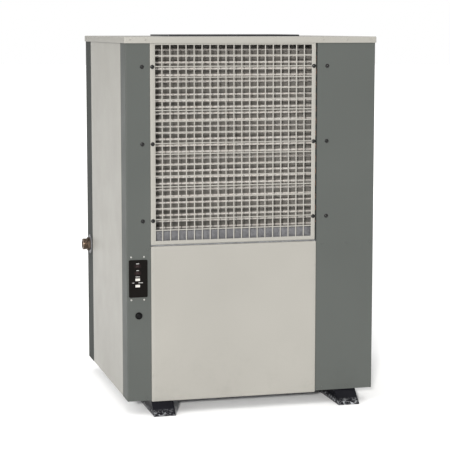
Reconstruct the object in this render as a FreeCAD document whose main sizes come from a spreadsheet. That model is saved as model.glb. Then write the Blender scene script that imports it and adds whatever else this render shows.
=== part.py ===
"""Floor-standing refrigerant dehumidifier for commercial rooms, as a parametric document.

Axes: X to the right, Y to the back, Z up, millimetres. The origin lies on the floor under the
middle of the overall bounding box. Inside this file x is counted from the cabinet's centre plane
and y from its front face; place() adds the shift to the origin. Every sub-part is one document
object with its own Label and is written to parts/LABEL.step.
"""
import FreeCAD, Part
import Sketcher
import math
import os

V = FreeCAD.Vector
doc = FreeCAD.newDocument("Dehumidifier")
doc.UndoMode = 0

# --------------------------------------------------------------------------- driving dimensions
SIZES = {
    # cabinet shell
    "mid_x": 16.0, "front_y": -460.0, "base_z": 57.0, "cab_half": 515.0, "cab_d": 920.0,
    "post_top": 1503.0, "sheet": 2.0, "bend": 4.0, "post_side": 100.0, "rear_side": 130.0,
    "left_post_x": -418.0, "right_post_x": 270.0, "rear_return": 60.0, "flange": 14.0,
    "seam": 1.0, "cover_low": 1480.0, "cover_top": 1505.0, "cover_over": 4.0,
    # front bay: lower panel and intake grille
    "panel_low": 51.0, "panel_top": 679.0, "proud": 2.0, "grille_low": 685.0,
    "grille_top": 1502.0, "grille_right": 264.0, "mesh_left": -396.0, "mesh_right": 246.0,
    "mesh_low": 701.0, "mesh_top": 1473.0, "bar_x": -368.3, "bar_pitch": 32.45,
    "rod_z": 742.7, "rod_pitch": 43.08, "bar_w": 5.0, "bar_t": 2.0, "bar_lap": 10.0,
    "rod_lap": 5.0,
    # base, skids and deck
    "pan_t": 3.0, "pan_rim": 40.0, "pan_front": 16.0, "pan_back": 905.0, "pan_half": 501.0,
    "skid_half": 44.5, "skid_t": 4.0, "skid_run": 54.0, "skid_set": 8.0, "skid_corner": 3.0,
    "skid_left_x": -373.5, "skid_right_x": 400.5, "deck_z": 684.0, "deck_rim": 28.0,
    "tray_left": -440.0, "tray_right": 310.0, "tray_front": 22.0, "tray_back": 232.0,
    "tray_top": 743.0, "tray_t": 1.5, "spout_x": -424.0, "spout_y": 126.0, "spout_r": 15.0,
    # finned coils
    "coil_left": -402.0, "coil_right": 272.0, "coil_low": 690.0, "coil_top": 1476.0,
    "coil_d": 44.0, "tube_z": 743.0, "tube_pitch": 25.4, "row_pitch": 22.0, "row_set": 4.9, "tube_r": 4.8,
    "hole_r": 5.1, "evap_y": 70.0, "cond_y": 165.0, "plate_t": 2.0, "plate_over": 6.0,
    "tube_end": 295.0, "tube_out": 5.0,
    # blowers
    "fan_y": 574.0, "fan_z": 1271.8, "fan_in": 13.0, "fan_out": 245.0, "fan_t": 1.5,
    "fan_top": 1501.0, "scroll_big": 206.0, "scroll_step": 16.0, "cut_y": 552.0,
    "inlet_r": 112.0, "wheel_r": 120.0, "wheel_in": 100.0, "wheel_half": 95.0, "hub_r": 18.0,
    "shaft_r": 8.0, "motor_r": 66.0, "motor_len": 120.0, "spider_t": 4.0, "run_fit": 0.05,
    "shelf_low": 1052.0, "shelf_top": 1080.0, "shelf_front": 420.0, "shelf_back": 740.0,
    # air outlet
    "out_half_w": 281.5, "out_half_d": 176.0, "out_rise": 7.0, "out_rim": 26.0, "out_neck": 262.0,
    "out_neck_d": 156.0, "guard_pitch": 24.0, "guard_r": 1.6,
    # compressor and refrigerant vessels
    "comp_x": -150.0, "comp_y": 470.0, "comp_r": 95.0, "comp_low": 97.0, "comp_top": 513.0,
    "comp_foot": 130.0, "comp_hole": 105.0, "foot_t": 5.0, "mount_r": 18.0,
    "tank_x": 230.0, "tank_y": 640.0, "tank_r": 70.0, "tank_top": 505.0, "tank_wall": 4.0,
    "drier_x": 450.0, "drier_low": 260.0, "drier_top": 400.0, "drier_r": 34.0,
    "suction_r": 11.0, "gas_r": 8.0, "liquid_r": 6.0,
    # condensate connection
    "drain_y": 850.0, "drain_z": 581.0, "drain_r": 25.0, "drain_bore": 14.0, "drain_hex": 52.0,
    "drain_grip": 13.0, "drain_reach": 36.0, "drain_plate_r": 42.0, "drain_plate_t": 3.0,
    "drain_inside": 14.0, "hose_r": 17.0, "hose_start": 26.0,
    # controls
    "ctrl_x": -469.5, "ctrl_z": 553.0, "ctrl_half_w": 37.5, "ctrl_half_h": 75.0, "ctrl_t": 2.5,
    "key_x": -472.0, "key_up_z": 549.2, "key_down_z": 524.0, "key_w": 18.0, "key_h": 10.0,
    "key_gap": 0.4, "key_stand": 1.8, "show_x": -472.0, "show_up_z": 603.0, "show_down_z": 575.0,
    "show_w": 26.0, "show_h": 12.0, "rivet_x": -471.4, "rivet_dx": 26.0, "rivet_z": 553.5,
    "rivet_dz": 86.0, "switch_x": -468.0, "switch_z": 403.5, "bezel_r": 14.2, "knob_r": 10.4,
    "stem_r": 5.0,
    # fasteners
    "dome_r": 8.2, "dome_h": 5.0, "dome_shank": 3.0, "screw_r": 3.6, "screw_h": 2.2,
    "shank_r": 2.0, "shank_gap": 0.2, "bolt_r": 5.0,
}


class Dim:
    """A number together with the spreadsheet expression that gives it."""

    def __init__(self, value, text):
        self.value = float(value)
        self.text = text

    def __float__(self):
        return self.value

    def __add__(self, other):
        return Dim(self.value + float(other), f"({self.text} + {text_of(other)})")

    def __sub__(self, other):
        return Dim(self.value - float(other), f"({self.text} - {text_of(other)})")

    def __mul__(self, other):
        return Dim(self.value * float(other), f"({self.text} * {text_of(other)})")

    def __truediv__(self, other):
        return Dim(self.value / float(other), f"({self.text} / {text_of(other)})")

    def __rsub__(self, other):
        return Dim(float(other) - self.value, f"({text_of(other)} - {self.text})")

    def __neg__(self):
        return Dim(-self.value, f"(0 - {self.text})")

    __radd__ = __add__
    __rmul__ = __mul__


def text_of(number):
    """The expression text of a Dim or of a plain number."""
    return number.text if isinstance(number, Dim) else f"({float(number):.6f})"


class Named:
    """Gives every driving dimension as an attribute."""

    def __init__(self, sizes):
        for alias, value in sizes.items():
            setattr(self, alias, Dim(value, "Sizes." + alias))


S = Named(SIZES)
table = doc.addObject("Spreadsheet::Sheet", "Sizes")
for row, (alias, value) in enumerate(SIZES.items(), start=1):
    table.set(f"A{row}", alias)
    table.set(f"B{row}", str(value))
    table.setAlias(f"B{row}", alias)
doc.recompute()


def bind(obj, prop, number):
    """Binds a property to the expression of a Dim or of a plain number."""
    obj.setExpression(prop, text_of(number))


def place(obj, x, y, z):
    """Puts an object at a point counted from the cabinet's centre plane, front face and floor."""
    for axis, number in (("x", S.mid_x + x), ("y", S.front_y + y), ("z", z)):
        bind(obj, f"Placement.Base.{axis}", number)
    return obj


def point(x, y, z):
    """The same shift as place(), for lists of points."""
    return V(float(S.mid_x + x), float(S.front_y + y), float(z))


TURN = {"x": FreeCAD.Rotation(V(0, 1, 0), 90), "y": FreeCAD.Rotation(V(1, 0, 0), -90),
        "z": FreeCAD.Rotation()}
WAY = {"x": V(1, 0, 0), "y": V(0, 1, 0), "z": V(0, 0, 1)}


# --------------------------------------------------------------------------- primitives and booleans
def block(x, y, z, label="Block"):
    """A block between pairs of limits, all of them dimensions or numbers."""
    made = doc.addObject("Part::Box", label)
    for prop, pair in (("Length", x), ("Width", y), ("Height", z)):
        bind(made, prop, pair[1] - pair[0])
    return place(made, x[0], y[0], z[0])


def rod(x, y, z, radius, length, axis="z", label="Rod"):
    """A cylinder that starts at a point and runs along +x, +y or +z."""
    made = doc.addObject("Part::Cylinder", label)
    made.Placement = FreeCAD.Placement(V(), TURN[axis])
    bind(made, "Radius", radius)
    bind(made, "Height", length)
    return place(made, x, y, z)


def hexagon(x, y, z, flats, length, axis="z", label="Hexagon"):
    """A hexagonal prism given by its size across flats."""
    made = doc.addObject("Part::Prism", label)
    made.Polygon = 6
    made.Placement = FreeCAD.Placement(V(), TURN[axis])
    bind(made, "Circumradius", flats / (2 * math.cos(math.pi / 6)))
    bind(made, "Height", length)
    return place(made, x, y, z)


def fuse(parts, label="Fused"):
    made = doc.addObject("Part::MultiFuse", label)
    made.Shapes = parts
    return made


def cut(base, tools, label="Cut"):
    """Takes one tool or a list of tools away from a piece."""
    made = doc.addObject("Part::Cut", label)
    made.Base = base
    made.Tool = fuse(tools, label + "_tools") if isinstance(tools, list) else tools
    return made


def fixed(label, shape):
    """A feature whose shape comes from Part's own functions."""
    made = doc.addObject("Part::Feature", label)
    made.Shape = shape
    return made


def repeated(label, master, steps):
    """Copies of one finished piece, each moved by a step, as separate solids of one node."""
    doc.recompute()
    solids = []
    for step in steps:
        copy = master.Shape.copy()
        copy.translate(V(*[float(s) for s in step]))
        solids += copy.Solids
    return fixed(label, Part.makeCompound(solids))


def drilled(base, spots, axis, radius, depth, label):
    """Cuts a round hole through a piece at each spot, depth / 2 to either side of it."""
    way = WAY[axis]
    tools = [Part.makeCylinder(float(radius), depth, point(*spot) - way * (depth / 2), way)
             for spot in spots]
    return cut(base, fixed(label + "_holes", Part.makeCompound(tools)), label)


def pipe(points, radius, bend):
    """A round bar along a line of points, with every corner turned on an arc."""
    spots = [point(*p) for p in points]
    edges = []
    last = spots[0]
    for before, corner, after in zip(spots, spots[1:], spots[2:]):
        back = (before - corner).normalize()
        ahead = (after - corner).normalize()
        half = back.getAngle(ahead) / 2
        reach = bend / math.tan(half)
        start, stop = corner + back * reach, corner + ahead * reach
        middle = (back + ahead).normalize()
        centre = corner + middle * (bend / math.sin(half))
        edges.append(Part.LineSegment(last, start).toShape())
        edges.append(Part.Arc(start, centre - middle * bend, stop).toShape())
        last = stop
    edges.append(Part.LineSegment(last, spots[-1]).toShape())
    ring = Part.Wire([Part.makeCircle(float(radius), spots[0], spots[1] - spots[0])])
    return Part.Wire(edges).makePipeShell([ring], True, False)


# --------------------------------------------------------------------------- bodies from sketches
def body(label, x, y, z):
    return place(doc.addObject("PartDesign::Body", label), x, y, z)


def sketch(owner, plane, offset=0.0):
    """A sketch on one of the body's own planes, moved along that plane's normal."""
    made = owner.newObject("Sketcher::SketchObject", "Sketch")
    found = [f for f in owner.Origin.OriginFeatures if f.Role == plane][0]
    made.AttachmentSupport = [(found, "")]
    made.MapMode = "FlatFace"
    bind(made, "AttachmentOffset.Base.z", offset)
    return made


def hold(made, kind, where, number):
    """One dimension of a sketch, bound to its expression."""
    index = made.addConstraint(Sketcher.Constraint(kind, *where, float(number)))
    made.setExpression(f"Constraints[{index}]", text_of(number))


def polygon(made, points):
    """A closed outline with each corner held at its distances from the sketch's origin."""
    spots = [V(float(a), float(b), 0) for a, b in points]
    first = made.GeometryCount
    for here, there in zip(spots, spots[1:] + spots[:1]):
        made.addGeometry(Part.LineSegment(here, there), False)
    for i in range(len(spots)):
        after = first + (i + 1) % len(spots)
        made.addConstraint(Sketcher.Constraint("Coincident", first + i, 2, after, 1))
    for i, (a, b) in enumerate(points):
        hold(made, "DistanceX", (-1, 1, first + i, 1), a)
        hold(made, "DistanceY", (-1, 1, first + i, 1), b)
    return made


def rectangle(made, x, y):
    """A rectangle between two pairs of limits."""
    return polygon(made, [(x[0], y[0]), (x[1], y[0]), (x[1], y[1]), (x[0], y[1])])


def feature(owner, kind, profile, length, back=False):
    """A pad or a pocket of a sketch."""
    made = owner.newObject("PartDesign::" + kind, kind)
    made.Profile = profile
    bind(made, "Length", length)
    made.Reversed = back
    doc.recompute()
    return made


def turned(label, x, y, z, profile):
    """A full turn about the vertical through a point; profile is a list of radius and height."""
    made = body(label, x, y, z)
    outline = polygon(sketch(made, "XZ_Plane"), profile)
    turn = made.newObject("PartDesign::Revolution", "Revolution")
    turn.Profile = outline
    turn.ReferenceAxis = (outline, ["V_Axis"])
    turn.Angle = 360.0
    doc.recompute()
    return made


def soften(owner, chosen, radius):
    """A fillet on the edges of the body's last feature for which chosen(edge) is true."""
    last = owner.Tip
    names = [f"Edge{i}" for i, e in enumerate(last.Shape.Edges, 1) if chosen(e)]
    made = owner.newObject("PartDesign::Fillet", "Fillet")
    made.Base = (last, names)
    bind(made, "Radius", radius)
    doc.recompute()
    return made


OPEN = {"x": "YZ_Plane", "y": "XZ_Plane", "z": "XY_Plane"}


def pan(label, x, y, z, side, wall):
    """A folded panel: a shallow box, open on one side, given by the limits of its outside.

    side is an axis letter with a sign and names the open side; wall is the sheet's thickness.
    """
    sizes = {"x": x[1] - x[0], "y": y[1] - y[0], "z": z[1] - z[0]}
    axis, high = side[1], side[0] == "+"
    across = [s for s in "xyz" if s != axis]
    made = body(label, x[0], y[0], z[0])
    flip = axis == "y"
    outer = sketch(made, OPEN[axis])
    rectangle(outer, (0, sizes[across[0]]), (0, sizes[across[1]]))
    feature(made, "Pad", outer, sizes[axis], flip)
    depth = sizes[axis] - wall
    offset = (-sizes[axis] if flip else sizes[axis]) if high else 0
    inner = sketch(made, OPEN[axis], offset)
    rectangle(inner, (wall, sizes[across[0]] - wall), (wall, sizes[across[1]] - wall))
    feature(made, "Pocket", inner, depth, (not high) != flip)
    return made


# --------------------------------------------------------------------------- base, skids, posts, panels
def skid(label, x):
    """A folded runner: sloped at both ends, open at the top where the base pan closes it."""
    made = body(label, x - S.skid_half, 0, 0)
    outline = [(-S.skid_run, 0), (S.cab_d + S.skid_run, 0),
               (S.cab_d - S.skid_set, S.base_z), (S.skid_set, S.base_z)]
    feature(made, "Pad", polygon(sketch(made, "YZ_Plane"), outline), S.skid_half * 2)
    soften(made, lambda e: e.BoundBox.ZMax < 1 and e.BoundBox.XLength > 60, S.skid_corner)
    slope = float(S.skid_t) * 1.6
    room = [(-S.skid_run + slope + 4, S.skid_t), (S.cab_d + S.skid_run - slope - 4, S.skid_t),
            (S.cab_d - S.skid_set - slope, S.base_z + 1), (S.skid_set + slope, S.base_z + 1)]
    inside = polygon(sketch(made, "YZ_Plane", S.skid_half * 2 - S.skid_t), room)
    feature(made, "Pocket", inside, S.skid_half * 2 - S.skid_t * 2)
    return made


skid("left_skid", S.skid_left_x)
skid("right_skid", S.skid_right_x)
pan("base_pan", (-S.pan_half, S.pan_half), (S.pan_front, S.pan_back),
    (S.base_z, S.base_z + S.pan_rim), "+z", S.pan_t)


def post(label, outline, corner, cuts=()):
    """An upright of folded sheet; the outer fold is rounded outside and inside."""
    made = body(label, 0, 0, S.base_z)
    feature(made, "Pad", polygon(sketch(made, "XY_Plane"), outline), S.post_top - S.base_z)
    x, y = float(corner[0]), float(corner[1])
    soften(made, lambda e: all(abs(v.X - x) < 0.1 and abs(v.Y - y) < 0.1 for v in e.Vertexes), S.bend)
    inner_x, inner_y = float(corner[2]), float(corner[3])
    soften(made, lambda e: all(abs(v.X - inner_x) < 0.1 and abs(v.Y - inner_y) < 0.1
                               for v in e.Vertexes), S.bend - S.sheet)
    for x_limits, z_limits in cuts:
        window = sketch(made, "XZ_Plane")
        rectangle(window, x_limits, (z_limits[0] - S.base_z, z_limits[1] - S.base_z))
        feature(made, "Pocket", window, S.sheet * 3)
    return made


def front_outline(side, edge):
    """Front face, inner return and side face of a front post; side is -1 for left, 1 for right."""
    out = S.cab_half * side
    inset = S.sheet * side
    return [(out, 0), (edge, 0), (edge, S.flange), (edge + inset, S.flange),
            (edge + inset, S.sheet), (out - inset, S.sheet), (out - inset, S.post_side),
            (out, S.post_side)]


def rear_outline(side):
    """Side face and rear return of a rear post."""
    out = S.cab_half * side
    inset = S.sheet * side
    back = S.cab_d
    return [(out, back), (out - S.rear_return * side, back),
            (out - S.rear_return * side, back - S.sheet), (out - inset, back - S.sheet),
            (out - inset, back - S.rear_side), (out, back - S.rear_side)]


CONTROL_WINDOW = ((S.ctrl_x - 30, S.ctrl_x + 30), (S.ctrl_z - 45, S.ctrl_z + 66))
left_edge = (-S.cab_half, 0, -S.cab_half + S.sheet, S.sheet)
right_edge = (S.cab_half, 0, S.cab_half - S.sheet, S.sheet)
left_post = post("left_post_sheet", front_outline(-1, S.left_post_x), left_edge, [CONTROL_WINDOW])
right_post = post("right_post_sheet", front_outline(1, S.right_post_x), right_edge)
back_left = post("back_left_sheet", rear_outline(-1),
                 (-S.cab_half, S.cab_d, -S.cab_half + S.sheet, S.cab_d - S.sheet))
post("rear_right_post", rear_outline(1),
     (S.cab_half, S.cab_d, S.cab_half - S.sheet, S.cab_d - S.sheet))
back_left = drilled(back_left, [(-S.cab_half, S.drain_y, S.drain_z)], "x", S.drain_r + 0.3, 30,
                    "rear_left_post")

DOME_ROWS = (781.0, 1085.5, 1388.0)
LEFT_DOMES = [(-449.0, 0, z) for z in DOME_ROWS]
RIGHT_DOMES = [(311.0, 0, z) for z in DOME_ROWS]
FRAME_DOMES = [(x, 0, z) for x in (-407.5, 255.2) for z in DOME_ROWS]
LEFT_SCREWS = [(-430.0, 0, 668.0), (-439.0, 0, 68.0)]
RIGHT_SCREWS = [(x, 0, 668.0) for x in (295.0, 399.0, 500.0)]
RIGHT_SCREWS += [(x, 0, 70.5) for x in (298.0, 404.0, 505.0)]
PANEL_SCREWS = [(x, -S.proud, z) for x in (-411.0, 263.0) for z in (157.6, 580.5)]
COVER_SCREWS = [(x, -S.cover_over, 1493.0) for x in (-497.0, -435.0, 292.6, 394.0, 494.0)]
COVER_HOLES = [(x, 0, z) for x, _, z in COVER_SCREWS]
RIVETS = [(S.rivet_x + S.rivet_dx * i, 0, S.rivet_z + S.rivet_dz * k) for i in (-1, 1) for k in (-1, 1)]
SWITCH = (S.switch_x, 0, S.switch_z)

left_post = drilled(left_post, LEFT_DOMES, "y", S.dome_shank + S.shank_gap, 10, "left_post_domes")
left_post = drilled(left_post, [SWITCH], "y", 9.3, 10, "left_post_switch")
drilled(left_post, LEFT_SCREWS + COVER_HOLES + RIVETS, "y", S.shank_r + S.shank_gap, 10,
        "front_left_pillar")
right_post = drilled(right_post, RIGHT_DOMES, "y", S.dome_shank + S.shank_gap, 10, "right_post_domes")
drilled(right_post, RIGHT_SCREWS + COVER_HOLES, "y", S.shank_r + S.shank_gap, 10,
        "front_right_pillar")

side_y = (S.post_side + S.seam, S.cab_d - S.rear_side - S.seam)
pan("left_side_panel", (-S.cab_half, -S.cab_half + S.flange), side_y, (S.base_z, S.post_top), "+x", S.sheet)
pan("right_side_panel", (S.cab_half - S.flange, S.cab_half), side_y, (S.base_z, S.post_top), "-x", S.sheet)
rear_half = S.cab_half - S.rear_return - S.seam
rear_y = (S.cab_d - S.flange, S.cab_d)
rear = pan("rear_sheet", (-rear_half, rear_half), rear_y, (S.base_z, S.post_top), "-y", S.sheet)
drilled(rear, [(320, S.cab_d, 160)], "y", 12.4, 20, "rear_panel")

cover = pan("cover_sheet", (-S.cab_half - S.cover_over, S.cab_half + S.cover_over),
            (-S.cover_over, S.cab_d + S.cover_over), (S.cover_low, S.cover_top), "-z", S.sheet)
middle = S.cab_d / 2
neck = block((-S.out_neck, S.out_neck), (middle - S.out_neck_d, middle + S.out_neck_d),
             (S.cover_top - 8, S.cover_top + 2), "cover_neck")
cover = cut(cover, neck, "cover_open")
drilled(cover, COVER_SCREWS, "y", S.shank_r + S.shank_gap, 10, "top_cover")

lower = pan("lower_sheet", (S.left_post_x + S.seam, S.right_post_x - S.seam), (-S.proud, S.flange),
            (S.panel_low, S.panel_top), "+y", S.sheet)
notch = block((S.skid_left_x - S.skid_half - 2, S.skid_left_x + S.skid_half + 2), (0, 30),
              (S.panel_low - 1, S.base_z + 1), "runner_notch")
lower = cut(lower, notch, "lower_notched")
drilled(lower, PANEL_SCREWS, "y", S.shank_r + S.shank_gap, 10, "lower_front_panel")

# --------------------------------------------------------------------------- intake grille
frame = pan("grille_sheet", (S.left_post_x + S.seam, S.grille_right), (0, S.flange),
            (S.grille_low, S.grille_top), "+y", S.sheet)
window = block((S.mesh_left, S.mesh_right), (-5, 30), (S.mesh_low, S.mesh_top), "grille_window")
frame = cut(frame, window, "grille_open")
drilled(frame, FRAME_DOMES, "y", S.dome_shank + S.shank_gap, 10, "grille_frame")

BARS, RODS = 19, 17
bar = block((S.bar_x - S.bar_w / 2, S.bar_x + S.bar_w / 2), (S.sheet, S.sheet + S.bar_t),
            (S.mesh_low - S.bar_lap, S.mesh_top + S.bar_lap), "grille_bar")
uprights = repeated("grille_uprights", bar, [(S.bar_pitch * i, 0, 0) for i in range(BARS)])
cross = block((S.mesh_left - S.rod_lap, S.mesh_right + S.rod_lap),
              (S.sheet + S.bar_t, S.sheet + S.bar_t * 2),
              (S.rod_z - S.bar_w / 2, S.rod_z + S.bar_w / 2), "grille_rod")
crossing = repeated("grille_crossing", cross, [(0, 0, S.rod_pitch * i) for i in range(RODS)])
fuse([uprights, crossing], "grille_mesh")

# --------------------------------------------------------------------------- deck and drip tray
deck = pan("deck_sheet", (-S.pan_half + S.seam, S.pan_half - S.seam), (S.pan_front, S.pan_back),
           (S.deck_z - S.deck_rim, S.deck_z), "-z", S.sheet)
deck = cut(deck, block((312, 472), (62, 226), (S.deck_z - 6, S.deck_z + 4), "deck_slot"), "deck_open")
drilled(deck, [(S.spout_x, S.spout_y, S.deck_z)], "z", S.spout_r + 1.5, 20, "middle_deck")

tray = pan("tray_sheet", (S.tray_left, S.tray_right), (S.tray_front, S.tray_back),
           (S.deck_z, S.tray_top), "+z", S.tray_t)
spout = rod(S.spout_x, S.spout_y, S.deck_z - 42, S.spout_r - 2, 43, "z", "spout")
spout_bore = rod(S.spout_x, S.spout_y, S.deck_z - 43, S.spout_r - 4, 46, "z", "spout_bore")
cut(fuse([tray, spout], "tray_with_spout"), spout_bore, "drip_tray")

# --------------------------------------------------------------------------- finned coils
TUBES = 29
SLOT_PITCH, SLOT_W, SLOT_D = 8.0, 5.2, 4.5


def rows_of(y):
    """The two rows of tubes of a coil whose front is at y; the first lies at the fins' front edge."""
    return y + S.row_set, y + S.row_set + S.row_pitch


def coil(name, y):
    """A finned block with two rows of tubes, its two end plates and the bent tubes."""
    tube_rows = rows_of(y)
    spots = [(0, row, S.tube_z + S.tube_pitch * i) for row in tube_rows for i in range(TUBES)]
    pack = block((S.coil_left, S.coil_right), (y, y + S.coil_d), (S.coil_low, S.coil_top),
                 name + "_block")
    slots = []
    count = int(float(S.coil_right - S.coil_left) // SLOT_PITCH)
    for i in range(count):
        x = S.coil_left + 1.4 + SLOT_PITCH * i
        for face in (y - 1, y + S.coil_d - SLOT_D):
            low = point(x, face, S.coil_low + 6)
            slots.append(Part.makeBox(SLOT_W, SLOT_D + 1, float(S.coil_top - S.coil_low) - 12, low))
    pack = cut(pack, fixed(name + "_slots", Part.makeCompound(slots)), name + "_finned")
    drilled(pack, spots, "x", S.hole_r, 2000, name + "_fins")
    x = S.coil_left - S.plate_t
    plate = block((x, S.coil_left), (y - S.plate_over, y + S.coil_d + S.plate_over),
                  (S.deck_z + S.tray_t, S.coil_top + 4), name + "_plate_sheet")
    plate = drilled(plate, [(x, s[1], s[2]) for s in spots], "x", S.hole_r, 8, name + "_plate")
    repeated(name + "_end_plates", plate, [(0, 0, 0), (S.coil_right - x, 0, 0)])
    fixed(name + "_tubes", Part.makeCompound([serpentine(row) for row in tube_rows]
                                             + [crossover(tube_rows)]))


def serpentine(y):
    """One row of tubes: straight runs joined by half-circle bends at alternate ends."""
    left, right = S.coil_left - S.plate_t - S.tube_out, S.coil_right + S.plate_t + S.tube_out
    radius = float(S.tube_pitch) / 2
    edges = []
    for i in range(TUBES):
        z = S.tube_z + S.tube_pitch * (TUBES - 1 - i)
        start = S.tube_end if i == 0 else right
        ends = (point(start, y, z), point(left, y, z))
        here, there = ends if i % 2 == 0 else (point(left, y, z), point(right, y, z))
        edges.append(Part.LineSegment(here, there).toShape())
        if i < TUBES - 1:
            bulge = -radius if i % 2 == 0 else radius
            mid = there + V(bulge, 0, -radius)
            edges.append(Part.Arc(there, mid, there - V(0, 0, 2 * radius)).toShape())
    wire = Part.Wire(edges)
    ring = Part.Wire([Part.makeCircle(float(S.tube_r), edges[0].Vertexes[0].Point, V(1, 0, 0))])
    return wire.makePipeShell([ring], True, False)


def crossover(rows):
    """The bend between the lowest tubes of the two rows, at the left end."""
    left = S.coil_left - S.plate_t - S.tube_out
    start, stop = point(left - 0.2, rows[0], S.tube_z), point(left - 0.2, rows[1], S.tube_z)
    arc = Part.Arc(start, (start + stop) * 0.5 - V(float(S.row_pitch) / 2, 0, 0), stop).toShape()
    ring = Part.Wire([Part.makeCircle(float(S.tube_r), start, V(1, 0, 0))])
    return Part.Wire([arc]).makePipeShell([ring], True, False)


coil("evaporator", S.evap_y)
coil("condenser", S.cond_y)

# --------------------------------------------------------------------------- blowers
pan("blower_shelf", (-S.cab_half + S.sheet, S.cab_half - S.sheet), (S.shelf_front, S.shelf_back),
    (S.shelf_low, S.shelf_top), "-z", S.sheet)


def scroll_radius(angle):
    """The scroll's radius at an angle in degrees, counted from the front wall downwards."""
    return float(S.scroll_big) - float(S.scroll_step) * angle / 90


def scroll_end(inset, wall_y):
    """The angle at which the scroll, drawn inset from its outside, meets the cut-off wall."""
    low, high = 240.0, 300.0
    for _ in range(40):
        angle = (low + high) / 2
        y = float(S.fan_y) - (scroll_radius(angle) - inset) * math.cos(math.radians(angle))
        low, high = (angle, high) if y > wall_y else (low, angle)
    return low


def scroll_edges(x, inset, wall_y):
    """Front wall, spiral and cut-off wall as three edges, from the top round to the top."""
    last = scroll_end(inset, wall_y)
    spots = []
    for i in range(31):
        angle = last * i / 30
        radius = scroll_radius(angle) - inset
        spots.append(point(x, float(S.fan_y) - radius * math.cos(math.radians(angle)),
                           float(S.fan_z) - radius * math.sin(math.radians(angle))))
    curve = Part.BSplineCurve()
    curve.interpolate(spots)
    start, stop = V(spots[0]), V(spots[-1])
    start.z = stop.z = float(S.fan_top)
    return [Part.LineSegment(start, spots[0]).toShape(), curve.toShape(),
            Part.LineSegment(spots[-1], stop).toShape()], start, stop


def blower(side, sign):
    """One double-inlet blower: scroll band, two side sheets, wheel, and motor with its arms."""
    thick = float(S.fan_t)
    low = float(min(float(S.fan_in * sign), float(S.fan_out * sign)))
    width = float(S.fan_out - S.fan_in) - 2 * thick
    wall = float(S.cut_y)
    outer, outer_start, outer_stop = scroll_edges(low + thick, 0, wall + thick)
    inner, inner_start, inner_stop = scroll_edges(low + thick, thick, wall)
    loop = outer + [Part.LineSegment(outer_stop, inner_stop).toShape()] + inner[::-1]
    loop.append(Part.LineSegment(inner_start, outer_start).toShape())
    fixed(f"{side}_blower_scroll", Part.Face(Part.Wire(loop)).extrude(V(width, 0, 0)))
    closing = Part.LineSegment(outer_stop, outer_start).toShape()
    sheet = Part.Face(Part.Wire(outer + [closing])).extrude(V(thick, 0, 0))
    inlet = Part.makeCylinder(float(S.inlet_r), 9, point(low, S.fan_y, S.fan_z), V(1, 0, 0))
    sides = []
    for shift in (-thick, width):
        plate = sheet.copy()
        plate.translate(V(shift, 0, 0))
        hole = inlet.copy()
        hole.translate(V(shift, 0, 0))
        sides.append(plate.cut(hole))
    fixed(f"{side}_blower_sides", Part.makeCompound(sides))
    wheel(side, (S.fan_in + S.fan_out) * (sign / 2), sign)
    motor(side, sign)


def motor(side, sign):
    """A drum motor on a flat plate with three arms, in front of the blower's outer inlet."""
    face = S.fan_out + S.spider_t
    spider = Part.makeCylinder(50, float(S.spider_t), point(S.fan_out, S.fan_y, S.fan_z), V(1, 0, 0))
    for i in range(3):
        arm = Part.makeBox(float(S.spider_t), 24, float(S.inlet_r) + 18,
                           point(S.fan_out, S.fan_y - 12, S.fan_z))
        arm.rotate(point(S.fan_out, S.fan_y, S.fan_z), V(1, 0, 0), 120 * i)
        spider = spider.fuse(arm)
    spider = spider.removeSplitter()
    drum = Part.makeCylinder(float(S.motor_r), float(S.motor_len), point(face, S.fan_y, S.fan_z),
                             V(1, 0, 0))
    cap_start = point(face + S.motor_len, S.fan_y, S.fan_z)
    cap = Part.makeCylinder(float(S.motor_r) * 0.55, 8, cap_start, V(1, 0, 0))
    hole = Part.makeCylinder(float(S.shaft_r + S.run_fit), 40, point(S.fan_out - 4, S.fan_y, S.fan_z),
                             V(1, 0, 0))
    whole = drum.fuse([cap, spider]).cut(hole)
    if sign < 0:
        whole = whole.mirror(point(0, 0, 0), V(1, 0, 0))
    fixed(f"{side}_blower_motor", whole)


BLADES = 30


def wheel(side, x, sign):
    """A double-inlet wheel: middle disc, rings, forward-leaning blades, hub and motor shaft."""
    half, big, small = float(S.wheel_half), float(S.wheel_r), float(S.wheel_in)
    centre = point(x, S.fan_y, S.fan_z)
    way = V(1, 0, 0)
    shape = Part.makeCylinder(big - 2, 3, centre - way * 1.5, way)
    for end in (-half, half - 3):
        ring = Part.makeCylinder(big, 3, centre + way * end, way)
        shape = shape.fuse(ring.cut(Part.makeCylinder(small + 4, 3, centre + way * end, way)))
    blades = []
    for i in range(BLADES):
        blade = Part.makeBox(2 * half - 2, 1.6, big - small - 2,
                             centre + V(-half + 1, -0.8, small))
        blade.rotate(centre + V(0, 0, (big + small) / 2), way, 24)
        blade.rotate(centre, way, 360 * i / BLADES)
        blades.append(blade)
    hub = Part.makeCylinder(float(S.hub_r), 44, centre - way * 22, way)
    reach = float(S.fan_out - S.fan_in) / 2 + float(S.spider_t) + 28
    shaft = Part.makeCylinder(float(S.shaft_r), reach, centre, way * sign)
    fixed(f"{side}_blower_wheel", shape.multiFuse(blades + [hub, shaft]).removeSplitter())


blower("left", -1)
blower("right", 1)

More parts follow.
